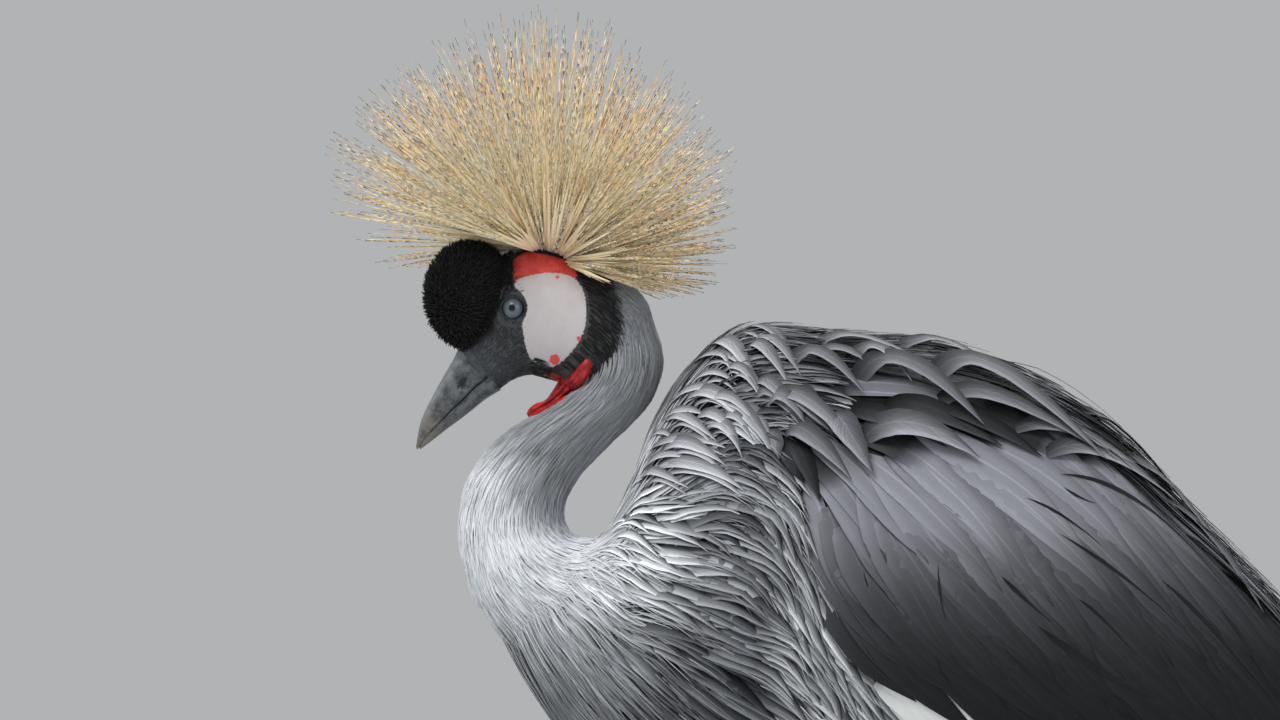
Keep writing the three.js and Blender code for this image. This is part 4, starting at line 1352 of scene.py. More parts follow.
@dataclass
class Hide:
    """The bird's one skin, from the bill's root to the tail's root, with the face's relief."""

    columns: int = 128
    rows: int = 260
    head_rows: int = 150

    def relief(self, points: Array) -> Array:
        """Height of the face's folds over the plain skin.

        Args:
            points: Points in the row frame.

        Returns:
            Heights in metres.
        """
        x, y = sheet_of(points)
        mouth, eye = distance_to_line(MOUTH, x, y), np.hypot(x - EYE_X, y - EYE_Y)
        return MM * (
            0.55 * ease(-0.35, 0.25, face_marks(points)["white"])
            + 0.9 * bump(x, 507, 16) * bump(y + 0.35 * (x - 507), 291, 5.5)
            - 1.0 * bump(x, 493, 13) * bump(y, 327, 11)
            - 0.8 * bump(mouth, 0.0, 1.6) + 0.35 * bump(mouth, 4.0, 2.4)
            - 2.2 * ease(12.5, 10.0, eye) + 0.45 * bump(eye, 15.5, 2.6)
        )

    def tint(self, points: Array, t: Array) -> Array:
        """Colour of the skin under the coat at each point, near black over the body as painted shade for the
        gaps between the feathers.

        Args:
            points: Points in the row frame.
            t: Their places along the skin.

        Returns:
            One colour for each point.
        """
        x, y = sheet_of(points)
        face = fade(paint(18, 19, 20), paint(44, 48, 53), np.clip((y - 322) / 45.0, 0, 1) * ease(540, 492, x))
        neck = fade(NECK_GREY, VELVET, band_share(points))
        tone = np.where((ease(6.3, 7.0, t) * ease(528, 545, x))[..., None] > 0.5, neck, face)
        velvet = face_marks(points)["velvet"][..., None] > 0
        tone = np.where(velvet & (t < 8)[..., None], np.asarray(VELVET), tone)
        # Painted shade: the skin over the body is near black, so the gaps between its feathers read dark.
        return fade(tone, paint(20, 21, 23), ease(19.5, 23.0, t))

    def build(self, palette: Palette) -> None:
        """Makes the skin.

        Args:
            palette: The scene's materials.
        """
        t = np.concatenate([np.linspace(0, 8, self.head_rows), np.linspace(8, BODY_END, self.rows)[1:]])
        grid_t, grid_degrees = np.meshgrid(t, np.degrees(turns(self.columns)), indexing="ij")
        plain, _, _, normal = settle(skin_surface, grid_t, grid_degrees, 0.0)
        points = plain + normal * (self.relief(plain) * ease(9.5, 7.5, grid_t))[..., None]
        rows, columns = grid_t.shape
        last = rows * columns
        index = np.arange(last).reshape(rows, columns)
        after = np.roll(index, -1, axis=1)
        quads = np.stack([index[:-1], index[1:], after[1:], after[:-1]], axis=-1).reshape(-1, 4)
        near = np.stack([np.full(columns, last), after[0], index[0]], axis=-1)
        far = np.stack([np.full(columns, last + 1), index[-1], after[-1]], axis=-1)

        def capped(values: Array, ends: Array) -> Array:
            """Values of the rings, followed by those of the two middles that close the ends."""
            return np.concatenate([values.reshape(last, -1), np.reshape(ends, (2, -1))])

        marks, head = face_marks(points), grid_t < 8.5
        tint = self.tint(points, grid_t)
        uv = bake_place(grid_t, np.where(grid_degrees > 180, grid_degrees - 360, grid_degrees))
        draft = Draft()
        draft.add(
            capped(points, [points[0].mean(axis=0), points[-1].mean(axis=0)]),
            [quads[:, ::-1], near[:, ::-1], far[:, ::-1]],
            tint=capped(tint, tint[[0, -1], 0]), uv=capped(uv, uv[[0, -1], 0]),
            **{
                name: capped(np.where(head, marks[name], -1.0), [-1.0, -1.0])
                for name in ("white", "red", "spot")
            },
        )
        for side, _ in SIDES:
            thigh = limb_points(THIGH, side, 24, 28, -1.2 * MM)
            count = thigh[..., 0].size
            uv = np.stack([0.9 + 0.002 * np.arange(count) / count, np.full(count, 0.5 + 0.2 * side)], axis=-1)
            draft.rod(thigh, tint=paint(60, 63, 68), uv=uv, white=-1.0, red=-1.0, spot=-1.0)
        necks = ["torso", "neck_upper", "neck_middle", "neck_base", "head"]
        nodes = necks + pair("cheek_white", "cheek_red", "thigh")
        dress(draft.build("skin", palette.skin), nodes)


# Leg places in mm: x, y, z, half width across, half width fore and aft
THIGH = [
    [36, -14, 430, 21, 38], [36, -12, 400, 21, 35], [37, -8, 370, 19, 28],
    [37.5, -3, 340, 14, 19], [38, 1, 312, 10, 12.5], [38, 3, 296, 7.5, 9],
]
SHANK = [
    [38, 2, 306, 5.4, 6.2], [38, 3.1, 295.6, 5.4, 6.2], [38, 7, 270, 5.1, 5.9], [38, 12, 240, 5.3, 6.3],
    [38, 15.5, 222, 6.9, 8.9], [38, 17.2, 210, 8.2, 10.6], [38, 17, 198, 7, 8.8], [38, 15.5, 184, 5.2, 6.4],
    [38, 12, 140, 4.9, 5.8], [38, 8, 90, 4.9, 5.8], [38, 4, 45, 5.2, 6.2], [38, 2.4, 27, 6.3, 7.3],
    [38, 1, 12, 8.2, 9.2], [38, 0, 2.2, 7, 8],
]
ANKLE_X = 38.0

# Marks of a toe and of a claw: share of the length, thickness as a share of the toe's, height in mm
TOE_MARKS = (
    (0, 1, 12), (0.12, 1, 8), (0.26, 0.86, 5.6), (0.45, 0.9, 5), (0.6, 0.74, 4.4), (0.75, 0.8, 4.2),
    (0.88, 0.62, 3.7), (1, 0.6, 3.4),
)
CLAW_MARKS = (
    (0, 0.5, 3.9), (0.2, 0.5, 4.3), (0.45, 0.4, 4.1), (0.7, 0.27, 3.2), (0.88, 0.15, 2.1), (1, 0.06, 1.3),
)


def limb_points(rows: Rows, side: float, columns: int, rings: int, grow: float = 0.0) -> Array:
    """Rings of points round a limb.

    Args:
        rows: Places in mm with their two half widths.
        side: 1 for the left limb and -1 for the right one.
        columns: Points in each ring.
        rings: Number of rings.
        grow: Added to the half widths.

    Returns:
        Points, ring by ring.
    """
    places = along_rows(rows, steps(rings) * (len(rows) - 1)) * MM
    middle = places[:, :3] * np.array([side, 1.0, 1.0])
    way = unit(np.gradient(middle, axis=0))
    across = unit(np.array([1.0, 0.0, 0.0]) - way * way[:, :1])
    angle = turns(columns)[:, None]
    wide = (places[:, 3] + grow)[:, None, None] * across[:, None, :] * np.cos(angle)
    deep = (places[:, 4] + grow)[:, None, None] * np.cross(way, across)[:, None, :] * np.sin(angle)
    return middle[:, None, :] + wide + deep


@dataclass
class Toe:
    """One toe: heading outwards from straight ahead in degrees, lengths and thickness in mm."""

    name: str
    heading: float
    length: float
    claw: float
    base: float

    @property
    def way(self) -> tuple[float, float]:
        """Direction over the floor."""
        return math.sin(math.radians(self.heading)), -math.cos(math.radians(self.heading))

    def row(self, reach: float, *rest: float) -> list[float]:
        """Place at a reach from the ankle, with its height and half widths."""
        return [ANKLE_X + self.way[0] * reach, self.way[1] * reach, *rest]

    def toe_rows(self) -> Rows:
        """Places of the toe with a pad under each joint.

        Returns:
            Places along the toe.
        """
        rows = []
        for share, thick, high in TOE_MARKS:
            radius = self.base * thick
            low = radius * 0.9 - 0.4 + share * 0.1 + (9 if share < 0.1 else 0)
            rows.append(self.row(self.length * share, min(high * self.base / 7.2, low), radius, radius * 0.9))
        return rows

    def claw_rows(self) -> Rows:
        """Places of the curved claw.

        Returns:
            Places along the claw.
        """
        rows = []
        for share, thick, high in CLAW_MARKS:
            half = max(self.base * thick, 0.25)
            rows.append(self.row(self.length - 0.6 + self.claw * share, max(high, half), half * 0.8, half))
        return rows


TOES = (
    Toe("middle", 2, 96, 15, 7.2), Toe("inner", -21, 70, 13, 6.4),
    Toe("outer", 33, 78, 14, 6.6), Toe("hind", 172, 27, 12, 5),
)


@dataclass
class Legs:
    """Bare legs, toes and claws."""

    voxel: float = 0.85 * MM
    plate: float = 6.2 * MM

    def plates(self, run: Array, size: float, gap: float) -> tuple[Array, Array]:
        """Share of the way over each plate, and the cut between plates."""
        step = (run / (self.plate * size)) % 1.0
        return step, bump(np.minimum(step, 1.0 - step), 0.0, gap)

    def scutes(self, points: Array, side: float) -> tuple[Array, Array]:
        """Height and seam of the plates down the shank's front and along the toes' tops.

        Args:
            points: Points in the row frame.
            side: 1 for the left and -1 for the right.

        Returns:
            Heights in metres and seams from 0 to 1.
        """
        x, y, z = points[:, 0] * side - ANKLE_X * MM, points[:, 1], points[:, 2]
        bone = np.interp(z, [0.0, 0.027, 0.21], [0.0, 0.0024, 0.017])
        front = ease(0.03, 0.034, z) * ease(0.2, 0.194, z) * ease(0.004, -0.004, y - bone)
        step, cut = self.plates(z, 1.15, 0.09)
        height, seam = front * (0.35 * step - 0.5 * cut), front * cut
        for toe in TOES:
            run, aside = x * toe.way[0] + y * toe.way[1], np.abs(x * toe.way[1] - y * toe.way[0])
            near = ease(toe.base * MM, toe.base * 0.8 * MM, aside) * (z < 0.016)
            near = (run > 0.1 * toe.length * MM) * near
            top = near * ease(0.35, 0.75, z / (toe.base * 1.1 * MM)) * ease(0.0, 0.008, run - 0.008)
            step, cut = self.plates(run, 0.62, 0.12)
            height += top * (0.28 * (1.0 - step) - 0.4 * cut)
            seam = np.maximum(seam, top * cut)
        return height * MM, np.clip(seam, 0, 1)

    def build_leg(self, side: float, word: str, material: Material) -> None:
        """Makes one bare leg with its foot as one closed skin.

        Args:
            side: 1 for the left leg and -1 for the right one.
            word: Name of the side.
            material: The legs' material.
        """
        draft = Draft()
        draft.rod(limb_points(SHANK, side, 20, 90))
        for toe in TOES:
            draft.rod(limb_points(toe.toe_rows(), side, 20, 40))
        made = draft.build(f"leg_{word}", material)
        if side < 0:
            made.data.flip_normals()
        remesh = made.modifiers.new("Fuse", "REMESH")
        remesh.mode = "VOXEL"
        remesh.voxel_size = self.voxel
        bpy.context.view_layer.update()
        fused = bpy.data.meshes.new_from_object(made.evaluated_get(bpy.context.evaluated_depsgraph_get()))
        made.modifiers.clear()
        made.data = fused
        fused.materials.clear()
        fused.materials.append(material)
        self.finish_leg(fused, side)
        dress(made, [f"{name}_{word}" for name in ("tibia", "tarsus", "foot")])

    def finish_leg(self, mesh: bpy.types.Mesh, side: float) -> None:
        """Smooths the fused leg, presses its plates in and sets it flat on the floor.

        Args:
            mesh: The fused leg.
            side: 1 for the left and -1 for the right.
        """
        points = read_values(mesh.vertices, "co", 3).astype(float)
        near, far = read_values(mesh.edges, "vertices", 2, np.int32).T
        degree = np.bincount(np.concatenate([near, far]), minlength=len(points))[:, None]
        for _ in range(4):
            total = np.zeros_like(points)
            np.add.at(total, near, points[far])
            np.add.at(total, far, points[near])
            points = 0.5 * points + 0.5 * total / np.maximum(degree, 1)
        mesh.vertices.foreach_set("co", points.astype(np.float32).ravel())
        mesh.update()
        height, seam = self.scutes(points, side)
        points += read_values(mesh.vertices, "normal", 3) * height[:, None]
        points[:, 2] = np.maximum(points[:, 2], 0.0)
        mesh.vertices.foreach_set("co", points.astype(np.float32).ravel())
        mesh.attributes.new("seam", "FLOAT", "POINT").data.foreach_set("value", seam.astype(np.float32))
        mesh.polygons.foreach_set("use_smooth", np.ones(len(mesh.polygons), bool))
        mesh.update()

    def build(self, palette: Palette) -> None:
        """Makes both legs and their claws.

        Args:
            palette: The scene's materials.
        """
        for side, word in SIDES:
            self.build_leg(side, word, palette.leg)
            for toe in TOES:
                draft = Draft()
                points = limb_points(toe.claw_rows(), side, 16, 24)
                points[..., 2] = np.maximum(points[..., 2], 0.0)
                draft.rod(points, tip=np.repeat(steps(24) ** 2, 16), ridge=0.0, pit=0.0)
                claw = f"claw_{toe.name}_{word}"
                dress(draft.build(f"{claw}_horn", palette.claw), [claw])


# Bill stations: ridge point, mouth point, half width in mm
BILL_UPPER = [
    [463, 335, 489, 374, 9.6], [459, 347, 484, 380, 9], [454, 358, 474.5, 387.5, 8],
    [446, 372, 464, 398.5, 6.6], [437, 388, 452, 409.5, 5.3], [428, 405, 441, 421, 4.1],
    [421, 421, 430.5, 431.5, 3], [417.3, 438, 422.5, 441, 1.9], [416, 448, 417.8, 449.4, 0.5],
]
BILL_LOWER = [
    [501, 390, 489, 374, 8.8], [494, 394, 484, 380, 8.2], [484, 400.5, 474.5, 387.5, 7],
    [473, 409.5, 464, 398.5, 5.8], [460, 419.5, 452, 409.5, 4.6], [447, 429, 441, 421, 3.5],
    [435.5, 438, 430.5, 431.5, 2.5], [426, 445.2, 422.5, 441, 1.6], [420.4, 449.2, 418.6, 447.4, 0.4],
]


@dataclass
class Bill:
    """Upper and lower bill with the nostril, the ridge and the mouth's edges."""

    gap: float = 0.04 * MM
    nostril: tuple[float, float] = (462.3, 382.8)
    slot_half: tuple[float, float] = (8.6, 3.1)
    slot_angle: float = math.radians(58)

    def half_points(self, rows: Rows, rings: int, columns: int) -> tuple[Array, Array, Array]:
        """Points of one half of the bill, its shares along the bill and its rise from mouth to ridge.

        Args:
            rows: Places of the half along the bill.
            rings: Rings along the bill.
            columns: Points from mouth to ridge.

        Returns:
            Points, shares and rises.
        """
        shares = steps(rings) ** 0.92
        x, y, mouth_x, mouth_y, half = along_rows(rows, shares * (len(rows) - 1)).T
        ridge, mouth = side_view(x, y), side_view(mouth_x, mouth_y)
        chord = ridge - mouth
        length = np.linalg.norm(chord, axis=-1, keepdims=True)
        mouth = mouth + chord / length * np.minimum(self.gap, length / 4)
        angle = np.radians(np.concatenate([np.linspace(-90, 90, columns), np.linspace(70, -70, 7)]))
        closing = np.arange(len(angle)) >= columns
        rise = np.where(closing, 0.0, np.cos(angle)) ** 0.85
        turn = np.sin(angle)
        spread = np.where(closing, turn * 0.97, np.sign(turn) * np.abs(turn) ** 0.9)
        side = mouth[:, None, :] + (ridge - mouth)[:, None, :] * rise[:, None]
        across = half[:, None] * MM * spread
        points = np.concatenate([across[..., None], side], axis=-1)
        return points, np.broadcast_to(shares[:, None], across.shape), np.broadcast_to(rise, across.shape)

    def build(self, palette: Palette) -> None:
        """Makes both halves.

        Args:
            palette: The scene's materials.
        """
        for name, rows in (("bill_upper", BILL_UPPER), ("bill_lower", BILL_LOWER)):
            upper = name == "bill_upper"
            points, shares, rise = self.half_points(rows, 150, 57)
            x, y = sheet_of(points) - np.array(self.nostril)[:, None, None]
            cos, sin = math.cos(self.slot_angle), math.sin(self.slot_angle)
            hole = np.hypot((y * sin - x * cos) / self.slot_half[0], (x * sin + y * cos) / self.slot_half[1])
            open_side = upper * (rise > 0.02)
            pit = ease(1.05, 0.55, hole) * open_side
            hollow = ease(1.9, 0.7, hole) * open_side
            sign = np.sign(points[..., 0])
            deep = np.minimum(1.7 * MM * pit + 0.5 * MM * hollow, 0.6 * np.abs(points[..., 0]))
            points[..., 0] -= sign * deep
            groove = bump(rise, 0.5, 0.1) * ease(0.75, 0.35, shares) * ease(0.02, 0.1, shares)
            points[..., 0] -= np.sign(points[..., 0]) * groove * 0.35 * MM * upper
            # Painted highlight along the top of the bill.
            ridge = ease(0.55, 0.98, rise) * ease(0.0, 0.25, shares) * (0.75 if upper else 0.2)
            faces = ring_faces(1, *points.shape[:2])
            draft = Draft()
            # pit: painted shade in the nostril and along the mouth's line.
            draft.add(
                points, faces if upper else [block[:, ::-1] for block in faces],
                ridge=ridge, tip=ease(0.45, 0.95, shares), pit=np.maximum(pit, 0.85 * ease(0.09, 0.02, rise)),
            )
            dress(draft.build(f"{name}_horn", palette.bill), [name])


@dataclass
class Eyes:
    """Eyeballs in their lids."""

    radius: float = 7.6 * MM
    centre_x: float = 14.6 * MM
    lid_radius: float = 6.35 * MM
    lid_thick: float = 0.75 * MM

    def build(self, palette: Palette) -> None:
        """Makes both eyes and both pairs of lids.

        Args:
            palette: The scene's materials.
        """
        for side, word in SIDES:
            centre = np.array([side * self.centre_x, *side_view(EYE_X + 1.0, EYE_Y)])
            axis = unit(np.array([side, -0.16, 0.03]))
            across = unit(np.cross(UP, axis))
            axes = np.array([axis, across, np.cross(axis, across)])
            self.build_ball(centre, axes, word, palette.eye)
            self.build_lid(centre, axes, word, palette.claw)

    def build_ball(self, centre: Array, axes: Array, word: str, material: Material) -> None:
        """Makes one eyeball with a raised cornea.

        Args:
            centre: The eye's middle.
            axes: The eye's own three axes.
            word: Name of the side.
            material: Material of the pieces.
        """
        lean = np.radians(np.concatenate([np.linspace(0.5, 60, 60), np.linspace(66, 179.5, 16)]))[:, None]
        turn = turns(64)[:, None]
        out = self.radius * np.sin(lean)
        bulge = 0.35 * MM * ease(4.9 * MM, 1.0 * MM, out) * (lean < math.pi / 2)
        ahead = (self.radius * np.cos(lean) + bulge)[..., None] * axes[0]
        points = centre + ahead + out[..., None] * (np.cos(turn) * axes[1] + np.sin(turn) * axes[2])
        draft = Draft()
        draft.rod(points, radius=np.repeat(np.where(lean < math.pi / 2, out / MM, 9.0), 64))
        dress(draft.build(f"eyeball_{word}", material), [f"eye_{word}"])

    def build_lid(self, centre: Array, axes: Array, word: str, material: Material) -> None:
        """Makes the ring of lids, pinched a little at its corners.

        Args:
            centre: The eye's middle.
            axes: The eye's own three axes.
            word: Name of the side.
            material: Material of the pieces.
        """
        turn, ring = turns(96)[:, None], turns(14)[:, None]
        major = self.lid_radius * (1.0 + 0.05 * np.cos(2 * turn))
        thick = self.lid_thick * (1.0 + 0.25 * np.sin(turn) + 0.15 * np.cos(2 * turn))
        thick = (thick * (1.0 + 0.06 * np.sin(turn * 19.0)))[:, None]
        deep = math.sqrt(self.radius ** 2 - self.lid_radius ** 2) + 0.45 * MM
        radial = np.cos(turn) * axes[1] + np.sin(turn) * axes[2]
        middle = centre + axes[0] * deep + radial * major
        outward = np.cos(ring) * radial[:, None] * 0.85 + np.sin(ring) * axes[0] * 1.25
        points = middle[:, None] + thick * outward
        index = np.arange(len(turn) * len(ring)).reshape(len(turn), len(ring))
        down = np.roll(index, -1, axis=0)
        quads = np.stack([index, down, np.roll(down, -1, axis=1), np.roll(index, -1, axis=1)], axis=-1)
        draft = Draft()
        draft.add(points, [quads.reshape(-1, 4)], ridge=0.0, tip=0.0, pit=0.35)
        dress(draft.build(f"eyelids_{word}", material))


@dataclass
class Wattle:
    """Red throat wattle: a hanging lobe and a part that wraps the throat."""

    lobe: tuple[tuple[float, ...], ...] = (
        (597, 356, 570, 370, 4.5), (590, 366, 560, 379, 6.5), (582, 382, 553, 390, 7.2),
        (566, 396, 545, 400, 6.4), (549, 411, 536, 403, 4.8), (538, 416, 529, 408.5, 3.4),
        (529, 417.5, 526.5, 413.5, 1.2),
    )
    lift: float = 4.8 * MM
    sunk: float = 2.5 * MM

    def build(self, palette: Palette) -> None:
        """Makes the hanging lobe and the part that wraps the throat.

        Args:
            palette: The scene's materials.
        """
        draft = Draft()
        shares, angle = steps(60)[:, None], turns(48)
        x, y, in_x, in_y, half = along_rows(self.lobe, shares[:, 0] * (len(self.lobe) - 1)).T
        outer, inner = side_view(x, y)[:, None, :], side_view(in_x, in_y)[:, None, :]
        crease = 1.0 - 0.28 * bump(np.cos(angle), 0.0, 0.3)
        ripple = 1.0 + 0.035 * np.sin(shares * 40.0 + 3.0 * angle)
        side = 0.5 * (outer + inner) + 0.5 * (outer - inner) * np.cos(angle)[:, None]
        across = half[:, None] * MM * np.sin(angle) * crease * ripple
        draft.rod(
            np.concatenate([across[..., None], side], axis=-1),
            rim=ease(-0.86, -1.0, np.cos(angle)) * ease(0.35, 0.6, shares),
        )
        t, degrees = np.meshgrid(np.linspace(3.6, 13.4, 120), np.linspace(100, 260, 80), indexing="ij")
        depth = outline_depth(WATTLE_FACE, *sheet_of(skin_surface(t, degrees, 0.0)))
        lift = self.lift * np.interp(t, [6.2, 7.8], [0.25, 1.0])
        height = -self.sunk + (lift + self.sunk) * ease(-1.4, 1.6, depth)
        height = height + 0.35 * MM * np.sin(0.9 * depth) * ease(2.0, 6.0, depth)
        points, faces = shell(skin_surface(t, degrees, height), skin_surface(t, degrees, -self.sunk - MM))
        draft.add(points, faces, rim=0.2 * np.tile(ease(0.8, -0.6, depth).ravel(), 2))
        dress(draft.build("wattle", palette.wattle), ["throat_wattle"])


def reduced(count: int) -> int:
    """Number of feathers, returned unchanged."""
    return count


def free_ups(way: Array, centres: Array, rng: Rng) -> Array:
    """Outward directions at random round the way of each line."""
    return np.broadcast_to(unit(np.cross(way, rng.standard_normal(way.shape)))[:, None, :], centres.shape)


ROUND = (-180.0, 180.0)


@dataclass
class VelvetCap:
    """Cushion of short black velvet on the forehead."""

    x: float = 470.0
    y: float = 296.0
    long: float = 29.0 * MM
    short: float = 24.0 * MM
    half: float = 20.6 * MM
    tilt: float = 0.12
    back: float = 513.0
    tufts: int = 6400
    tuft_length: float = 3.2 * MM

    def ball(self, lean: Array, turn: Array, grow: float) -> Array:
        """Points over the cushion; lean 0 is its left end.

        Args:
            lean: Angle from the left end.
            turn: Angle round the cushion.
            grow: Distance off the cushion's own form.

        Returns:
            Points in the row frame.
        """
        x = (self.half + grow) * np.cos(lean)
        y = (self.short + grow) * np.sin(lean) * np.cos(turn)
        z = (self.long + grow) * np.sin(lean) * np.sin(turn)
        cos, sin = math.cos(self.tilt), math.sin(self.tilt)
        middle = side_view(self.x, self.y)
        return np.stack([x, middle[0] + y * cos - z * sin, middle[1] + y * sin + z * cos], axis=-1)

    def unwrap(self, lean: Array, turn: Array) -> Array:
        """Places on the cushion's unwrap."""
        return 0.02 + 0.96 * np.stack([turn / (2 * math.pi), lean / math.pi], axis=-1)

    def build(self, palette: Palette, rng: Rng) -> None:
        """Makes the cushion and its tufts.

        Args:
            palette: The scene's materials.
            rng: Source of random numbers.
        """
        lean, turn = np.meshgrid(np.linspace(0.02, math.pi - 0.02, 60), turns(80), indexing="ij")
        points = self.ball(lean, turn, -1.6 * MM)
        points[..., 1] = np.minimum(points[..., 1], side_view(self.back, 0.0)[0])
        draft = Draft()
        draft.rod(points, along=0.5, across=0.0, tint=np.asarray(VELVET) * 0.7, uv=self.unwrap(lean, turn))
        dress(draft.build("velvet_cushion", palette.velvet), ["forehead_cap"])
        self.build_tufts(palette.velvet, rng)

    def build_tufts(self, material: Material, rng: Rng) -> None:
        """Makes the velvet's tufts on the cushion and on the face behind it.

        Args:
            material: Material of the pieces.
            rng: Source of random numbers.
        """
        count = reduced(self.tufts)
        lean = np.arccos(1.0 - 2.0 * rng.random(count * 3))
        turn = rng.random(count * 3) * 2 * math.pi
        limit = side_view(self.back - 2, 0.0)[0]
        kept = np.flatnonzero(self.ball(lean, turn, -1.8 * MM)[:, 1] < limit)[:count]
        lean, turn = lean[kept], turn[kept]
        roots = self.ball(lean, turn, -1.8 * MM)
        ways = unit(self.ball(lean, turn, 5 * MM) - roots)

        def in_velvet(_: Array, __: Array, here: Array) -> Array:
            """True on the velvet part of the face."""
            return face_marks(here)["velvet"] > 0.05

        face = scatter(skin_surface, count // 3, (0.0, 5.5), ROUND, rng, in_velvet)
        face_roots, _, _, face_ways = settle(skin_surface, *face, -0.4 * MM)
        roots, ways = np.concatenate([roots, face_roots]), np.concatenate([ways, face_ways])
        uv = np.concatenate([self.unwrap(lean, turn), bake_place(*face)])
        lay_back = unit(ways * 0.9 + np.array([0.0, 0.34, 0.16]) + 0.16 * rng.standard_normal(ways.shape))
        reach = self.tuft_length * (0.75 + 0.5 * rng.random((len(roots), 1, 1)))
        bend = unit(ways * 0.7 + np.array([0.0, 0.5, 0.3]))
        shares = steps(4)[:, None]
        centres = roots[:, None] + reach * (lay_back[:, None] * shares + bend[:, None] * 0.25 * shares ** 2)
        lines = Threads(centres, free_ups(lay_back, centres, rng), uv)
        cut = Cut(Section.STRAND, (1.0, 0.9, 0.6, 0.12), thick=0.7)
        tint = shade(VELVET, 0.55 + 0.9 * rng.random(len(roots)))
        plumage("velvet_tufts", material, lines, 0.48, cut, tint, rng)


@dataclass
class Crest:
    """Fan of stiff twisted straw bristles on the crown."""

    x: float = 548.0
    y: float = 256.0
    slope: float = 0.28
    bristles: int = 1150
    spread: float = 62.0
    rings: int = 20
    half: float = 0.56
    core: tuple[float, float, float] = (13.0, 23.0, 8.0)
    reach: tuple[tuple[float, float], ...] = (
        (-26, 62), (-20, 82), (-6, 96), (17, 107), (27, 117), (46, 120), (64, 127), (80, 133), (97, 136),
        (123, 131), (147, 136), (166, 129), (175, 112), (186, 92), (196, 62),
    )

    def ways(self, rng: Rng) -> tuple[Array, Array, Array, Array]:
        """Directions of the bristles, their angles in the side view, leans and places on the unwrap.

        Args:
            rng: Source of random numbers.

        Returns:
            One value of each kind for each bristle.
        """
        tries = self.bristles * 8
        order = np.arange(tries) + 0.5
        height = 1.0 - 2.0 * order / tries
        turn = math.pi * (1.0 + 5.0 ** 0.5) * order
        flat = np.sqrt(1.0 - height ** 2)
        way = np.stack([height, flat * np.cos(turn), flat * np.sin(turn)], axis=-1)
        way = unit(way + 0.02 * rng.standard_normal(way.shape))
        lean = np.degrees(np.arcsin(way[:, 0]))
        angle = np.degrees(np.arctan2(way[:, 2], way[:, 1]))
        angle = np.where(angle < -90, angle + 360, angle)
        wide = np.abs(lean)
        low = np.interp(wide, [0, 24, 60], [-12, -18, -26])
        high = np.where(lean > 4, 163.0, np.interp(wide, [0, 24, 60], [168, 186, 194]))
        kept = np.flatnonzero((wide < self.spread) & (angle > low) & (angle < high))
        kept = np.sort(rng.permutation(kept)[: self.bristles])
        way, angle, lean = way[kept], angle[kept], lean[kept]
        return way, angle, lean, np.stack([(angle + 40) / 250.0, 0.5 + lean / 140.0], axis=-1)

    def straight(self, way: Array, share: Array | float, reach: Array, shares: Array) -> Array:
        """Straight lines from roots over the sloping crown.

        Args:
            way: Direction of each line.
            share: Share of the core at which it starts.
            reach: Length of each line.
            shares: Shares of the way along it.

        Returns:
            Points along each line.
        """
        root = np.array([0.0, *side_view(self.x, self.y)])
        start = root + way * np.array(self.core) * MM * share
        start[:, 2] -= self.slope * (start[:, 1] - root[1])
        return fade(start[:, None, :], (root + way * reach[:, None])[:, None, :], shares)

    def build(self, palette: Palette, rng: Rng) -> None:
        """Makes the bristles of each side as one piece.

        Args:
            palette: The scene's materials.
            rng: Source of random numbers.
        """
        way, angle, lean, roots = self.ways(rng)
        count, shares = len(way), steps(self.rings)
        share = 0.75 + 0.2 * rng.random((count, 1))
        reach = np.interp(angle, *np.transpose(self.reach)) * MM
        reach *= (1.0 - 0.12 * (lean / self.spread) ** 2) * (0.74 + 0.28 * rng.random(count) ** 0.6)
        bend = unit(np.cross(way, rng.standard_normal(way.shape)))
        bow = reach * 0.014 * rng.standard_normal(count)
        centres = self.straight(way, share, reach, shares)
        centres = centres + bend[:, None, :] * (bow[:, None] * shares ** 2)[..., None]
        centres[..., 2] -= (0.02 * reach[:, None] * shares ** 2) * np.cos(np.radians(angle))[:, None] ** 2
        ups = free_ups(way, centres, rng)
        twist = 2 * math.pi * (7.0 + 4.0 * rng.random((count, 1))) * shares + 6.3 * rng.random((count, 1))
        # Painted glint and shade: each bristle's colour goes paler and darker along its twist. Towards the
        # root the bristles are paler cream, partly their own colour and partly painted light.
        painted_glint = 0.5 + 0.5 * np.sin(2.0 * twist)
        tone = fade(STRAW, CREAM, np.maximum(ease(0.98, 0.5, shares), 0.9 * painted_glint))
        tone = tone * (1 - 0.22 * (1 - painted_glint) * ease(0.35, 0.8, shares))[..., None]
        tone = np.minimum(tone * (0.98 + 0.2 * rng.random((count, 1, 1))), 1.0)
        tone = fade(tone, INK, ease(0.93, 0.985, shares) * (rng.random((count, 1)) < 0.75))
        cut = Cut(Section.STRAND, (1.3, 1.15, 1.05, 1.0, 0.95, 0.85, 0.7, 0.25), thick=0.8, bow=0.0)
        for word, chosen, nodes in (("left", lean >= 0, ["crest"]), ("right", lean < 0, [])):
            lines = Threads(centres[chosen], ups[chosen], roots[chosen])
            plumage(
                f"crest_bristles_{word}", palette.crest, lines, self.half, cut,
                tone[chosen], rng, nodes, twist[chosen],
            )
        self.build_down(palette.crest, rng)

    def build_down(self, material: Material, rng: Rng) -> None:
        """Makes the short pale bristles that fill the crest's root.

        Args:
            material: Material of the pieces.
            rng: Source of random numbers.
        """
        way, _, _, roots = self.ways(rng)
        centres = self.straight(way, 0.72, (36.0 + 40.0 * rng.random(len(way))) * MM, steps(6))
        lines = Threads(centres, free_ups(way, centres, rng), roots)
        tone = shade(CREAM, 0.92 + 0.08 * rng.random(len(way)))
        cut = Cut(Section.STRAND, (1.2, 1.3, 1.1, 0.7, 0.2), thick=0.8, bow=0.0)
        plumage("crest_root_down", material, lines, 0.9, cut, tone, rng)


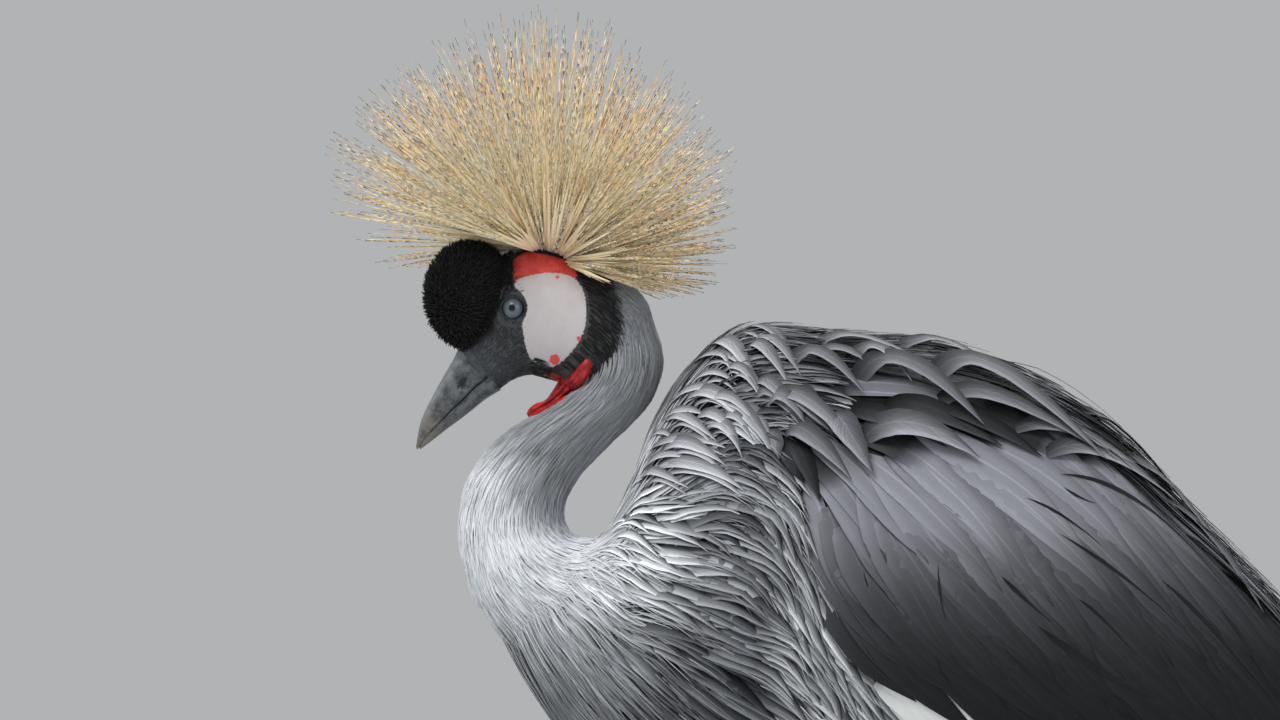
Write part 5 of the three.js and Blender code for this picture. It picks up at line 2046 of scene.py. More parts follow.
@dataclass
class HeadCoat:
    """Short feathers of the face, the black band and the nape."""

    band: int = 4000
    lores: int = 2000

    def build(self, palette: Palette, rng: Rng) -> None:
        """Makes the band's feathers and the small ones of the lores."""
        self.build_band(palette.velvet, rng, reduced(self.band))
        self.build_lores(palette.neck, rng, reduced(self.lores))

    def build_band(self, material: Material, rng: Rng, count: int) -> None:
        """Makes the soft feathers behind the cheek, black near it and grey further back.

        Args:
            material: Material of the pieces.
            rng: Source of random numbers.
            count: Number of feathers.
        """
        def outside(_: Array, __: Array, here: Array) -> Array:
            """True off the bare marks and the wattle.

            Args:
                here: Points on the form.

            Returns:
                True where a feather may grow.
            """
            marks = face_marks(here)
            x, y = sheet_of(here)
            fringe = distance_to_line(CREST_FOOT, x, y) < 3.5
            bare = outline_depth(WATTLE_FACE, *sheet_of(here + np.array([0.0, 2.5, -5.0]) * MM)) > -3
            clear = (marks["white"] < -0.08) & (marks["velvet"] < 0) & ~bare & (x > 528)
            return clear & ((marks["red"] < -0.08) | fringe)

        roots = scatter(skin_surface, count, (3.0, 9.4), ROUND, rng, outside)
        number = len(roots[0])
        length = (7.0 + 5.0 * rng.random(number)) * MM
        stray = 0.2 * rng.standard_normal((number, 1))

        def heading(_: Array, along: Array, __: float) -> Array:
            """Down and back along the neck."""
            return along + stray * np.array([0.0, 0.6, -0.8]) + np.array([0.0, 0.1, -0.25])

        ruffle = 0.6 + 0.5 * rng.random((number, 1))
        lines = sprout(skin_surface, roots, length, heading, (-0.4, 0.8, 1.2, 1.5), ruffle)
        x, y = sheet_of(lines.centres[:, 0])
        black = np.maximum(band_share(lines.centres[:, 0]), (x < 592) * (y < 278))
        tint = fade(DULL_GREY, MID_GREY, rng.random(number))
        tint = fade(tint, VELVET, np.clip(black + 0.25 * (rng.random(number) - 0.5), 0, 1))
        cut = Cut(Section.STRAND, (0.8, 1.0, 0.8, 0.1), thick=0.3)
        plumage("head_band_feathers", material, lines, 0.6, cut, tint, rng)

    def build_lores(self, material: Material, rng: Rng, count: int) -> None:
        """Makes the tiny flat feathers between the bill, the eye and the cheek.

        Args:
            material: Material of the pieces.
            rng: Source of random numbers.
            count: Number of feathers.
        """
        def on_lores(_: Array, __: Array, here: Array) -> Array:
            """True between the marks of the face.

            Args:
                here: Points on the form.

            Returns:
                True where a feather may grow.
            """
            marks = face_marks(here)
            x, y = sheet_of(here)
            clear = (np.hypot(x - EYE_X, y - EYE_Y) > 14.5) & (x < 545)
            return (marks["white"] < -0.1) & (marks["velvet"] < 0.1) & (marks["red"] < 0) & clear

        def heading(_: Array, along: Array, __: float) -> Array:
            """Back and a little upwards."""
            return along + 0.15 * np.array([0.0, 0.3, 1.0])

        roots = scatter(skin_surface, count, (0.25, 5.0), ROUND, rng, on_lores)
        here = settle(skin_surface, *roots, 0.0)[0]
        hide = Hide()
        length = (2.2 + 1.2 * rng.random(len(here))) * MM
        relief = hide.relief(here)[:, None]
        lines = sprout(skin_surface, roots, length, heading, (-0.25, 0.16, 0.28), 1.0, relief)
        tone = hide.tint(here, roots[0]) * (0.8 + 0.4 * rng.random((len(here), 1)))
        cut = Cut(Section.STRAND, (0.9, 0.8, 0.15), thick=0.12)
        plumage("lores_feathers", material, lines, 0.28, cut, tone, rng)


@dataclass
class NeckCoat:
    """Long hair-like feathers of the neck."""

    strands: int = 9300
    start: float = 8.0
    stretch: float = 4.9
    nodes: tuple[str, ...] = ("neck_upper", "neck_middle", "neck_base")

    def build(self, palette: Palette, rng: Rng) -> None:
        """Makes the strands from the nape to the breast.

        Args:
            palette: The scene's materials.
            rng: Source of random numbers.
        """
        count = reduced(self.strands) // len(self.nodes)
        for part, node in enumerate(self.nodes):
            low = self.start + part * self.stretch
            reach = (low - 0.1, low + self.stretch + 0.3)
            self.build_part(palette.neck, rng, count, reach, f"neck_strands_{part + 1}", node)

    def build_part(
        self, material: Material, rng: Rng, count: int, reach: tuple[float, float], name: str, node: str,
    ) -> None:
        """Makes the strands of one stretch of the neck.

        Args:
            material: The strands' material.
            rng: Source of random numbers.
            count: Number of strands.
            reach: Where their roots begin and end along the body.
            name: Name of the piece.
            node: Solid that it replaces.
        """
        def thinning(t: Array, _: Array, __: Array) -> Array:
            """True over the neck, for fewer and fewer roots towards the breast."""
            return t < 22.9 - 3.0 * rng.random(len(t)) ** 2

        t, degrees = scatter(skin_surface, count, reach, ROUND, rng, thinning)
        length = (22.0 + 14.0 * rng.random(len(t)) + 6.0 * ease(17, 22, t)) * MM
        stray = 0.06 * rng.standard_normal((len(t), 1))
        fall = np.interp(t, [8, 10, 14, 18, 22], [0.35, 0.3, 0.12, 0.0, 0.0])[:, None]

        def heading(_: Array, along: Array, share: float) -> Array:
            """Down the neck, falling a little at the nape."""
            along = along + stray * np.array([0.2, 1.0, 1.0])
            return along + fall * np.array([0.0, -0.5, -1.0]) * (1.0 - 0.4 * share)

        ruffle = 0.55 + 0.5 * rng.random((len(t), 1))
        lines = sprout(skin_surface, (t, degrees), length, heading, (-0.6, 1.2, 2.2, 2.8, 3.1), ruffle)
        x, y = sheet_of(lines.centres)
        # Painted light and shade: the strands are paler on the front and lower neck, darker high on the neck,
        # and darker again where the neck runs into the breast.
        bright = 0.8 * ease(560, 478, x) * ease(425, 480, y) + 0.9 * ease(500, 560, y)
        bright += 0.25 * ease(610, 660, x) * ease(430, 480, y)
        low = y + 12.0 * rng.standard_normal((len(t), 1))
        bright = (bright + 0.1) * np.interp(low, [570, 620, 660], [1.0, 0.5, 0.1])
        tone = fade(DULL_GREY, PALE_GREY, np.clip(bright + 0.1 * rng.standard_normal((len(t), 1)), 0, 1))
        tone = fade(tone, VELVET, band_share(lines.centres) * ease(11.5, 9.0, t)[:, None])
        half = 0.52 * (0.7 + 0.6 * rng.random(len(t)))
        cut = Cut(Section.STRAND, (0.7, 1.0, 0.85, 0.5, 0.1), thick=0.4)
        plumage(name, material, lines, half, cut, tone, rng, [node])


def short_of_slate(lines: Threads) -> Array:
    """Numbers of the feathers whose tips stay in front of the folded wing's slate feathers.

    Args:
        lines: The feathers' centre lines.

    Returns:
        The numbers of those that are kept.
    """
    x, y = sheet_of(lines.centres[:, -2])
    edge = np.interp(y, [436, 465, 490, 532, 550, 638], [784, 798, 800, 808, 814, 850])
    top = np.interp(x, [800, 860, 1000], [430, 446, 452])
    return np.flatnonzero(~((x > edge) & (y > top) & (y < 640)))


def off_wing(t: Array, degrees: Array, _: Array) -> Array:
    """False under the folded wing's slate feathers, where body feathers aren't seen."""
    edge = np.interp(t, [5.0, 5.3, 5.9, 6.5, 7, 8, 9.3, 10.5, 12], [28, 46, 58, 72, 84, 96, 98, 92, 80])
    return (t <= 5.0) | (np.abs(degrees) >= edge)


def breast_light(x: Array, y: Array) -> Array:
    """Painted light and shade on the breast's feathers at places on the sheet, from 0 to 1: pale high at the
    front, darker lower down and further back.

    Args:
        x: Places along the sheet.
        y: Places down the sheet.

    Returns:
        Shares from 0 to 1.
    """
    down = np.interp(y, [480, 560, 600, 636, 672, 710, 760], [1.0, 0.95, 0.72, 0.36, 0.18, 0.1, 0.06])
    back = np.interp(x, [620, 650, 675, 705, 740, 790, 830], [1.0, 0.8, 0.5, 0.26, 0.2, 0.24, 0.26])
    return down * back * (1.0 - 0.35 * ease(400, 330, y)) + 0.28 * ease(755, 795, x) * ease(570, 620, y)


SOFT_WIDTHS = (0.6, 0.95, 1.0, 0.95, 0.8, 0.5, 0.08)


@dataclass
class BodyCoat:
    """Hackles of the breast and mantle, and the softer feathers of flank and belly."""

    hackles: int = 3000
    hairs: int = 1800
    veil: int = 3600
    belly: int = 1050
    quick: float = 0.35

    def build(self, palette: Palette, rng: Rng) -> None:
        """Makes each side's hackles and hairs, and the belly.

        Args:
            palette: The scene's materials.
            rng: Source of random numbers.
        """
        for side, word in SIDES:
            span = (min(0.0, 184.0 * side), max(0.0, 184.0 * side))
            self.build_hackles(palette.hackle, rng, span, word)
            self.build_hairs(palette.neck, rng, span, word)
            self.build_veil(palette.neck, rng, span, word)
        self.build_belly(palette.hackle, rng)

    def build_hackles(self, material: Material, rng: Rng, span: tuple[float, float], word: str) -> None:
        """Makes the long pointed feathers that lie in arcs over breast and mantle.

        Args:
            material: Material of the pieces.
            rng: Source of random numbers.
            span: Angles round the body between which they grow.
            word: Name of the side.
        """
        t, degrees = scatter(FLESH, reduced(self.hackles) // 2, (-0.9, 7.4), span, rng, off_wing)
        size = ease(-1.0, 3.5, t)
        length = (30 + 36 * size + 14 * rng.random(len(t))) * MM
        length *= np.interp(np.abs(degrees), [0, 30, 60], [0.7, 0.85, 1.0])
        stray = 0.05 * rng.standard_normal(len(t)) + 0.08 * np.sin(9.0 * t + degrees * 0.09)
        ruffle = (0.5 + 0.8 * rng.random((len(t), 1))) * (0.55 + 0.6 * size[:, None])
        rise = (-4.0, -0.3, 1.4, 2.6, 3.4, 4.0, 4.5, 4.9, 5.2)
        lines = sprout(FLESH, (t, degrees), length, by_lie(BREAST_LIE, stray), rise, ruffle, 0.0, BREAST)
        kept = short_of_slate(lines)
        lines, degrees, size = lines.only(kept), degrees[kept], size[kept]
        x, y = sheet_of(lines.centres)
        # Painted shade: the hackles are darker on the mantle, under the shoulder's curled feathers.
        light = breast_light(x, y) * (1.0 - 0.5 * ease(500, 440, y) * ease(640, 670, x))
        noise = rng.standard_normal((2, len(kept), 1))
        tone = fade(HACKLE_DEEP, PALE_GREY, np.clip(light * (1.0 + 0.35 * noise[0]) + 0.06 * noise[1], 0, 1))
        narrow = np.interp(np.abs(degrees), [120, 165], [1.0, 0.45])
        half = (1.7 + 2.9 * size + rng.random(len(kept))) * narrow
        cut = Cut(Section.BLADE, (0.02, 0.5, 0.95, 1.0, 0.9, 0.72, 0.5, 0.28, 0.02), 0.3, 0.1, 0.5, 0.3)
        nodes = ["torso"] if word == "left" else []
        plumage(f"breast_hackles_{word}", material, lines, half, cut, tone, rng, nodes)

    def build_hairs(self, material: Material, rng: Rng, span: tuple[float, float], word: str) -> None:
        """Makes the bright loose barbs that lie over the hackles.

        Args:
            material: Material of the pieces.
            rng: Source of random numbers.
            span: Angles round the body between which they grow.
            word: Name of the side.
        """
        roots = scatter(FLESH, reduced(self.hairs) // 2, (-1.2, 6.6), span, rng, off_wing)
        size = ease(-1.0, 3.5, roots[0])
        length = (22 + 26 * size + 16 * rng.random(len(size))) * MM
        heading = by_lie(BREAST_LIE, 0.12 * rng.standard_normal(len(size)), 1.05)
        ruffle = (0.5 + 0.7 * rng.random((len(size), 1))) * (0.5 + 0.6 * size[:, None])
        heights = (-1.0, 1.4, 2.8, 3.9, 4.7, 5.3, 5.8)
        lines = sprout(FLESH, roots, length, heading, heights, ruffle, 0.0, BREAST)
        lines = lines.only(short_of_slate(lines))
        light = breast_light(*sheet_of(lines.centres)) + 0.75 * rng.random((len(lines.roots), 1)) ** 3
        tone = fade(MID_DEEP, PALE_GREY, np.clip(light, 0, 1))
        cut = Cut(Section.STRAND, (0.7, 1.0, 1.0, 0.8, 0.6, 0.35, 0.06), 0.35)
        plumage(f"breast_hairs_{word}", material, lines, 0.45, cut, tone, rng)

    def build_veil(self, material: Material, rng: Rng, span: tuple[float, float], word: str) -> None:
        """Makes the fine pale hair that runs from the neck down over the front of the breast.

        Args:
            material: Material of the pieces.
            rng: Source of random numbers.
            span: Angles round the body between which they grow.
            word: Name of the side.
        """
        def front(t: Array, degrees: Array, _: Array) -> Array:
            """True over the front of the breast, with a loose edge."""
            start = np.interp(t, [-1.4, -0.3, 0.6, 1.6, 2.8, 4.0, 5.5], [0, 16, 60, 96, 120, 138, 160])
            return np.abs(degrees) + 20.0 * rng.standard_normal(len(t)) > start

        roots = scatter(FLESH, reduced(self.veil) // 2, (-1.4, 5.4), span, rng, front)
        number = len(roots[0])
        length = (30 + 18 * rng.random(number)) * MM
        heading = by_lie(BREAST_LIE, 0.08 * rng.standard_normal(number), 0.5)
        ruffle = (0.55 + 0.5 * rng.random((number, 1))) * (0.62 + 0.38 * ease(-1.0, 1.5, roots[0][:, None]))
        lines = sprout(FLESH, roots, length, heading, (-1.0, 2.0, 3.8, 4.9, 5.5, 5.9), ruffle, 0.0, BREAST)
        x, y = sheet_of(lines.centres)
        light = breast_light(x, y + 12.0 * rng.standard_normal((number, 1)))
        light = light + 0.1 * rng.standard_normal((number, 1))
        tone = fade(MID_DEEP, PALE_GREY, np.clip(light, 0, 1))
        cut = Cut(Section.STRAND, (0.6, 1.0, 1.0, 0.8, 0.45, 0.06), 0.35)
        plumage(f"breast_veil_{word}", material, lines, 0.5, cut, tone, rng)

    def build_belly(self, material: Material, rng: Rng) -> None:
        """Makes the soft feathers under the wings and along the belly to the tail.

        Args:
            material: Material of the pieces.
            rng: Source of random numbers.
        """
        def under(t: Array, degrees: Array, _: Array) -> Array:
            """True below the folded wing."""
            return np.abs(degrees) > np.interp(t, [6.2, 7, 8, 9, 10, 12], [84, 100, 112, 116, 100, 80])

        roots = scatter(FLESH, reduced(self.belly), (6.0, 12.2), ROUND, rng, under)
        number = len(roots[0])
        length = (34 + 14 * rng.random(number)) * MM
        heading = by_lie(BREAST_LIE, 0.16 * rng.standard_normal(number))
        ruffle = 0.5 + 0.6 * rng.random((number, 1))
        heights = (-1.2, 0.6, 1.8, 2.6, 3.2, 3.7, 4.1)
        lines = sprout(FLESH, roots, length, heading, heights, ruffle, 0.0, BREAST)
        tone = fade(HACKLE_DEEP, MID_GREY, np.clip(0.5 + 0.25 * rng.standard_normal(number), 0, 1))
        half = 4.0 + 1.8 * rng.random(number)
        cut = Cut(Section.BLADE, SOFT_WIDTHS, 0.4, 0.3, 0.2, 0.3)
        plumage("belly_feathers", material, lines, half, cut, tone, rng)


@dataclass
class ThighCoat:
    """Soft grey feathers of the thighs, down to the bare shank."""

    feathers: int = 520
    rise: tuple[float, ...] = (-1.5, 0.2, 1.0, 1.6, 2.1, 2.5, 2.8)

    def build(self, palette: Palette, rng: Rng) -> None:
        """Makes both thighs' feathers as one piece.

        Args:
            palette: The scene's materials.
            rng: Source of random numbers.
        """
        draft = Draft()
        count = reduced(self.feathers)
        cut = Cut(Section.BLADE, SOFT_WIDTHS, 0.4, 0.3, 0.0, 0.3)
        for side, _ in SIDES:
            share = rng.random(count) ** 0.9 * 0.9
            angle = rng.random(count) * 2 * math.pi
            run = np.clip(share[:, None] + 0.3 * steps(len(self.rise)), 0, 1.2)
            places = along_rows(THIGH, run * (len(THIGH) - 1))
            cos, sin = np.cos(angle)[:, None], -np.sin(angle)[:, None]
            flare = 1.0 - 0.62 * ease(0.86, 1.16, run)
            lift = np.array(self.rise) * (0.6 + 0.6 * rng.random((count, 1))) * (0.4 + 0.6 * flare)
            centres = np.stack([
                side * (places[..., 0] + (places[..., 3] * flare + lift) * cos),
                places[..., 1] + (places[..., 4] * flare + lift) * sin,
                places[..., 2] - 120.0 * np.clip(run - 1.0, 0, 1),
            ], axis=-1) * MM
            ups = np.broadcast_to(np.stack([side * cos, sin, 0 * cos], axis=-1), centres.shape)
            roots = np.stack([0.9 + 0.06 * share, 0.5 + side * (0.1 + 0.05 * angle)], axis=-1)
            tone = fade(HACKLE_DEEP, MID_GREY, np.clip(0.45 + 0.25 * rng.standard_normal(count), 0, 1))
            half = 3.8 - 1.4 * share + 0.9 * rng.random(count)
            feather(draft, Threads(centres, ups, roots), half, cut, tone, rng)
        dress(draft.build("thigh_feathers", palette.hackle), pair("thigh"))


@dataclass
class Row:
    """One row of large vanes: root place, step to the tip, angles, lift in mm and width in mm."""

    at: float
    run: float
    less: float
    turn: float
    lift: float
    width: float
    first: float
    step: float
    count: int


@dataclass
class Tier:
    """One tier of the folded wing, at a share of its depth."""

    name: str
    slot: str
    share: float
    span: tuple[float, float]
    top: float
    edge: tuple[tuple[float, float], ...]
    rows: tuple[Row, ...] = ()

    def limit(self, t: Array) -> Array:
        """Angle of the tier's lower edge."""
        return np.interp(t, *np.transpose(self.edge))


def locate(form: Loft, x: Array, y: Array) -> tuple[Array, Array]:
    """Places on a form's left side that show at places on the sheet.

    Args:
        form: The form.
        x: Sheet x.
        y: Sheet y.

    Returns:
        Places along the form and angles round it.
    """
    t = np.linspace(1.0, 14.0, 1301)
    ends = form.section(t)
    inner = ends[:, 2:4]
    chord = ends[:, 0:2] - inner
    length = np.linalg.norm(chord, axis=-1)
    chord = chord / length[:, None]
    gap = side_view(x, y)[..., None, :] - inner
    best = np.abs(gap[..., 0] * chord[:, 1] - gap[..., 1] * chord[:, 0]).argmin(axis=-1)
    reach = np.take_along_axis((gap * chord).sum(axis=-1), best[..., None], axis=-1)[..., 0] / length[best]
    return t[best], np.degrees(np.arccos(np.clip(2.0 * reach - 1.0, -0.999, 0.999)))


def edge_from_sheet(points: Rows) -> tuple[tuple[float, float], ...]:
    """Edge of a tier, as places along the wing and angles round it, from places on the sheet.

    Args:
        points: Places on the sheet.

    Returns:
        One pair for each place.
    """
    t, degrees = locate(OUTLINE, *np.array(points, float).T)
    order = np.argsort(t)
    return tuple(zip(t[order], degrees[order]))


PRIMARIES = Tier(
    "wing_primaries", "black_feathers", 0.07, (10.05, 12.4), 62, ((10, 124), (12.4, 124)),
    (Row(11.3, 5.6, 0.17, -8, 0.2, 26, 66, 9, 8),),
)
SECONDARIES = Tier(
    "wing_secondaries", "chestnut_feathers", 0.24, (8.5, 12), 12, ((8.5, 116), (10, 120), (12, 112)),
    (Row(10.9, 5.5, 0.12, -3, 0.3, 34, 12, 10, 10), Row(10.3, 4.1, 0.2, 6, 0.3, 28, 100, 7, 4)),
)
GOLDEN = Tier("wing_gold", "gold_feathers", 0.41, (8.2, 10.6), 80, ((8.2, 130), (9.5, 134), (10.6, 128)))
COVERTS = Tier(
    "wing_coverts", "white_feathers", 0.57, (7.1, 10.2), 74,
    ((6.2, 96), (7, 116), (8, 132), (9.2, 132), (10.2, 118)),
)
SCAPULARS = Tier("scapulars", "slate_feathers", 0.74, (5.3, 11.2), 0, edge_from_sheet([
    [748, 476], [777, 506], [803, 566], [824, 600], [842, 638], [878, 671], [920, 697], [960, 719],
    [1010, 742], [1070, 764], [1140, 786], [1210, 808], [1280, 842], [1340, 884], [1392, 932], [1430, 968],
]))

# Painted deep shade under the curled feathers of the shoulder, each an outline on the sheet; the slate
# feathers are left out there and darkened around it.
HOLLOWS = (
    [
        [845, 394], [862, 390], [892, 389], [920, 397], [950, 405], [976, 398], [1004, 402], [1032, 414],
        [1056, 434], [1104, 446], [1130, 458], [1100, 458], [1058, 449], [1020, 442], [985, 443], [962, 437],
        [938, 423], [914, 405], [880, 403], [850, 405],
    ],
    [[858, 432], [889, 433], [919, 439], [951, 451], [933, 454], [889, 451], [864, 443]],
    [[753, 410], [769, 407], [787, 410], [798, 416], [778, 418], [773, 430], [765, 427], [757, 418]],
    [[800, 369], [822, 363], [839, 370], [857, 386], [830, 387], [820, 396], [804, 378]],
    [[800, 446], [818, 452], [842, 472], [822, 474], [804, 460]],
)


def hollow_depth(points: Array) -> Array:
    """How far places lie inside the nearest deep shade, in sheet steps."""
    x, y = sheet_of(points)
    return np.max([outline_depth(outline, x, y) for outline in HOLLOWS], axis=0)


# Large curled feathers of the shoulder: root, crown and tip on the sheet, half width and lift in mm; those
# that lift less than 3 mm lie in the dark pockets and are darkened as painted shade
CURLED = [
    [753, 411, 804, 400, 868, 466, 5.4, 9], [712, 420, 742, 419, 775, 462, 4.4, 7],
    [742, 350, 772, 345, 800, 372, 3.4, 6], [800, 352, 838, 344, 880, 366, 4.2, 6],
    [690, 440, 726, 430, 768, 458, 3.6, 6], [740, 363, 760, 355, 788, 385, 4.6, 7],
    [705, 361, 728, 355, 758, 393, 4.0, 6], [748, 339, 768, 334, 792, 349, 3.6, 5],
    [780, 369, 816, 353, 862, 388, 5.4, 9], [842, 352, 876, 347, 909, 379, 5.0, 8],
    [851, 371, 900, 364, 980, 423, 8.2, 10], [858, 428, 906, 421, 976, 453, 8.8, 6],
    [776, 428, 806, 429, 848, 471, 6.6, 6], [753, 412, 779, 400, 803, 420, 5.2, 9],
    [826, 399, 842, 423, 870, 467, 8.0, 8], [786, 377, 802, 396, 829, 425, 7.4, 7],
    [764, 422, 772, 441, 774, 464, 4.0, 5], [750, 387, 770, 391, 803, 419, 4.6, 8],
    [716, 392, 740, 380, 770, 412, 4.2, 6], [726, 420, 748, 414, 772, 442, 4.2, 5],
    [924, 379, 985, 372, 1102, 458, 8.8, 11], [933, 396, 992, 395, 1102, 449, 7.2, 7],
    [1040, 446, 1100, 446, 1188, 504, 6.4, 4], [988, 362, 1056, 368, 1152, 452, 7.0, 8],
    [806, 341, 850, 331, 912, 352, 4.0, 6], [884, 345, 940, 343, 1010, 380, 4.8, 7],
    [1060, 398, 1124, 428, 1200, 512, 7.0, 6], [1110, 440, 1166, 478, 1230, 556, 6.6, 5],
    [1150, 478, 1208, 528, 1262, 606, 6.0, 4], [1010, 420, 1070, 424, 1160, 476, 6.2, 4],
    [846, 398, 884, 408, 944, 440, 7.0, 2], [884, 392, 930, 403, 1000, 438, 8.0, 2],
    [930, 396, 976, 410, 1040, 448, 7.5, 2], [776, 430, 789, 450, 800, 494, 5.6, 2.4],
    [788, 424, 802, 450, 818, 492, 5.4, 2],
]

# Crescents of the mantle, read the same way
MANTLE = [
    [737, 341, 760, 336, 789, 347, 2.2, 6], [726, 351, 745, 343, 766, 347, 1.8, 5],
    [705, 366, 728, 356, 744, 358, 1.8, 5], [716, 361, 728, 360, 740, 368, 1.6, 6],
    [677, 388, 711, 366, 751, 380, 2.4, 6], [703, 371, 719, 370, 729, 379, 1.6, 8],
    [716, 383, 737, 380, 758, 396, 2.6, 8], [680, 398, 708, 384, 735, 392, 2.2, 6],
    [658, 422, 692, 398, 729, 404, 3.0, 6], [674, 416, 712, 405, 764, 450, 3.6, 8],
    [689, 417, 724, 409, 758, 432, 2.6, 9], [714, 427, 732, 425, 752, 440, 2.4, 8],
    [654, 429, 680, 419, 706, 422, 2.2, 6], [660, 431, 682, 426, 716, 447, 2.6, 7],
    [698, 432, 720, 433, 739, 453, 3.2, 8], [689, 422, 713, 425, 737, 443, 2.8, 8],
    [645, 446, 660, 440, 674, 445, 1.6, 5], [638, 458, 680, 445, 727, 453, 2.6, 6],
    [654, 459, 684, 451, 724, 469, 3.4, 8], [637, 479, 664, 461, 703, 465, 2.4, 6],
    [645, 474, 690, 468, 744, 492, 4.2, 7], [639, 484, 655, 478, 690, 491, 2.2, 6],
    [744, 405, 768, 397, 800, 416, 3.4, 7],
]
THINNER = ([1, 1, 1, 1, 1, 1, 0.5, 0.9], [6, 9, 5, 7, 2, 9, 0, 0])

# Painted shadow: narrow near-black strips laid where the gaps between the slate feathers show dark: root,
# middle and tip on the sheet, half width in mm
GAP_SHADOW_STRIPS = [
    [934, 555, 937, 591, 942, 611, 0.5], [998, 567, 1018, 587, 1046, 612, 1.2],
    [1034, 617, 1085, 655, 1142, 688, 2.2], [1074, 589, 1099, 610, 1131, 646, 0.9],
    [1024, 488, 1062, 507, 1099, 536, 0.9], [1057, 524, 1118, 565, 1174, 614, 1.0],
    [1159, 570, 1210, 620, 1268, 691, 1.5], [1220, 601, 1246, 638, 1274, 690, 1.4],
    [1062, 477, 1078, 487, 1094, 493, 0.8], [1059, 464, 1140, 492, 1223, 574, 1.6],
    [932, 648, 944, 676, 965, 698, 0.7], [798, 520, 801, 545, 805, 566, 0.7],
    [809, 535, 810, 560, 817, 584, 0.7], [1110, 700, 1170, 745, 1230, 785, 1.2],
    [1190, 690, 1260, 765, 1330, 840, 1.4], [860, 560, 872, 600, 890, 640, 0.5],
    [1000, 640, 1040, 680, 1090, 720, 0.8],
]


@dataclass
class Cover:
    """Overlapping feathers of a tier: number on each side, sizes in mm, tones, shape and rings."""

    count: int
    length: tuple[float, float]
    half: float
    lift: float
    tones: tuple[Colour, Colour]
    cut: Cut
    rings: int


GOLD_COVER = Cover(
    210, (80, 96), 1.8, 2.5, (GOLD, paint(236, 208, 146)),
    Cut(Section.BLADE, (0.5, 0.9, 1.0, 0.95, 0.8, 0.6, 0.4, 0.06), 0.4, 0.2, 0.1, 0.3), 10,
)
WHITE_COVER = Cover(
    170, (52, 66), 8.0, 3.0, (paint(214, 217, 216), COVERT_WHITE),
    Cut(Section.VANE, (0.5, 0.8, 0.95, 1.0, 1.0, 0.9, 0.7, 0.4, 0.08), 0.5, 0.2, 0.15, 0.1), 10,
)
SLATE_COVER = Cover(
    240, (88, 150), 9.8, 0.8, (paint(17, 18, 19), paint(128, 129, 137)),
    Cut(Section.VANE, (0.5, 0.85, 1.0, 1.0, 0.97, 0.88, 0.72, 0.5, 0.25, 0.03), 0.25, 0.05), 13,
)


def arcs(rows: Array, rings: int) -> tuple[Array, Array]:
    """Places in the wing of arcs through three places on the sheet each.

    Args:
        rows: Root, crown and tip of each arc on the sheet.
        rings: Number of points on each line.

    Returns:
        Places along the wing and angles round it.
    """
    shares = steps(rings)[:, None]
    root, middle, tip = rows[:, None, 0:2], rows[:, None, 2:4], rows[:, None, 4:6]
    crown = 2.0 * middle - 0.5 * (root + tip)
    line = root * (1 - shares) ** 2 + crown * 2 * shares * (1 - shares) + tip * shares ** 2
    return locate(OUTLINE, line[..., 0], line[..., 1])


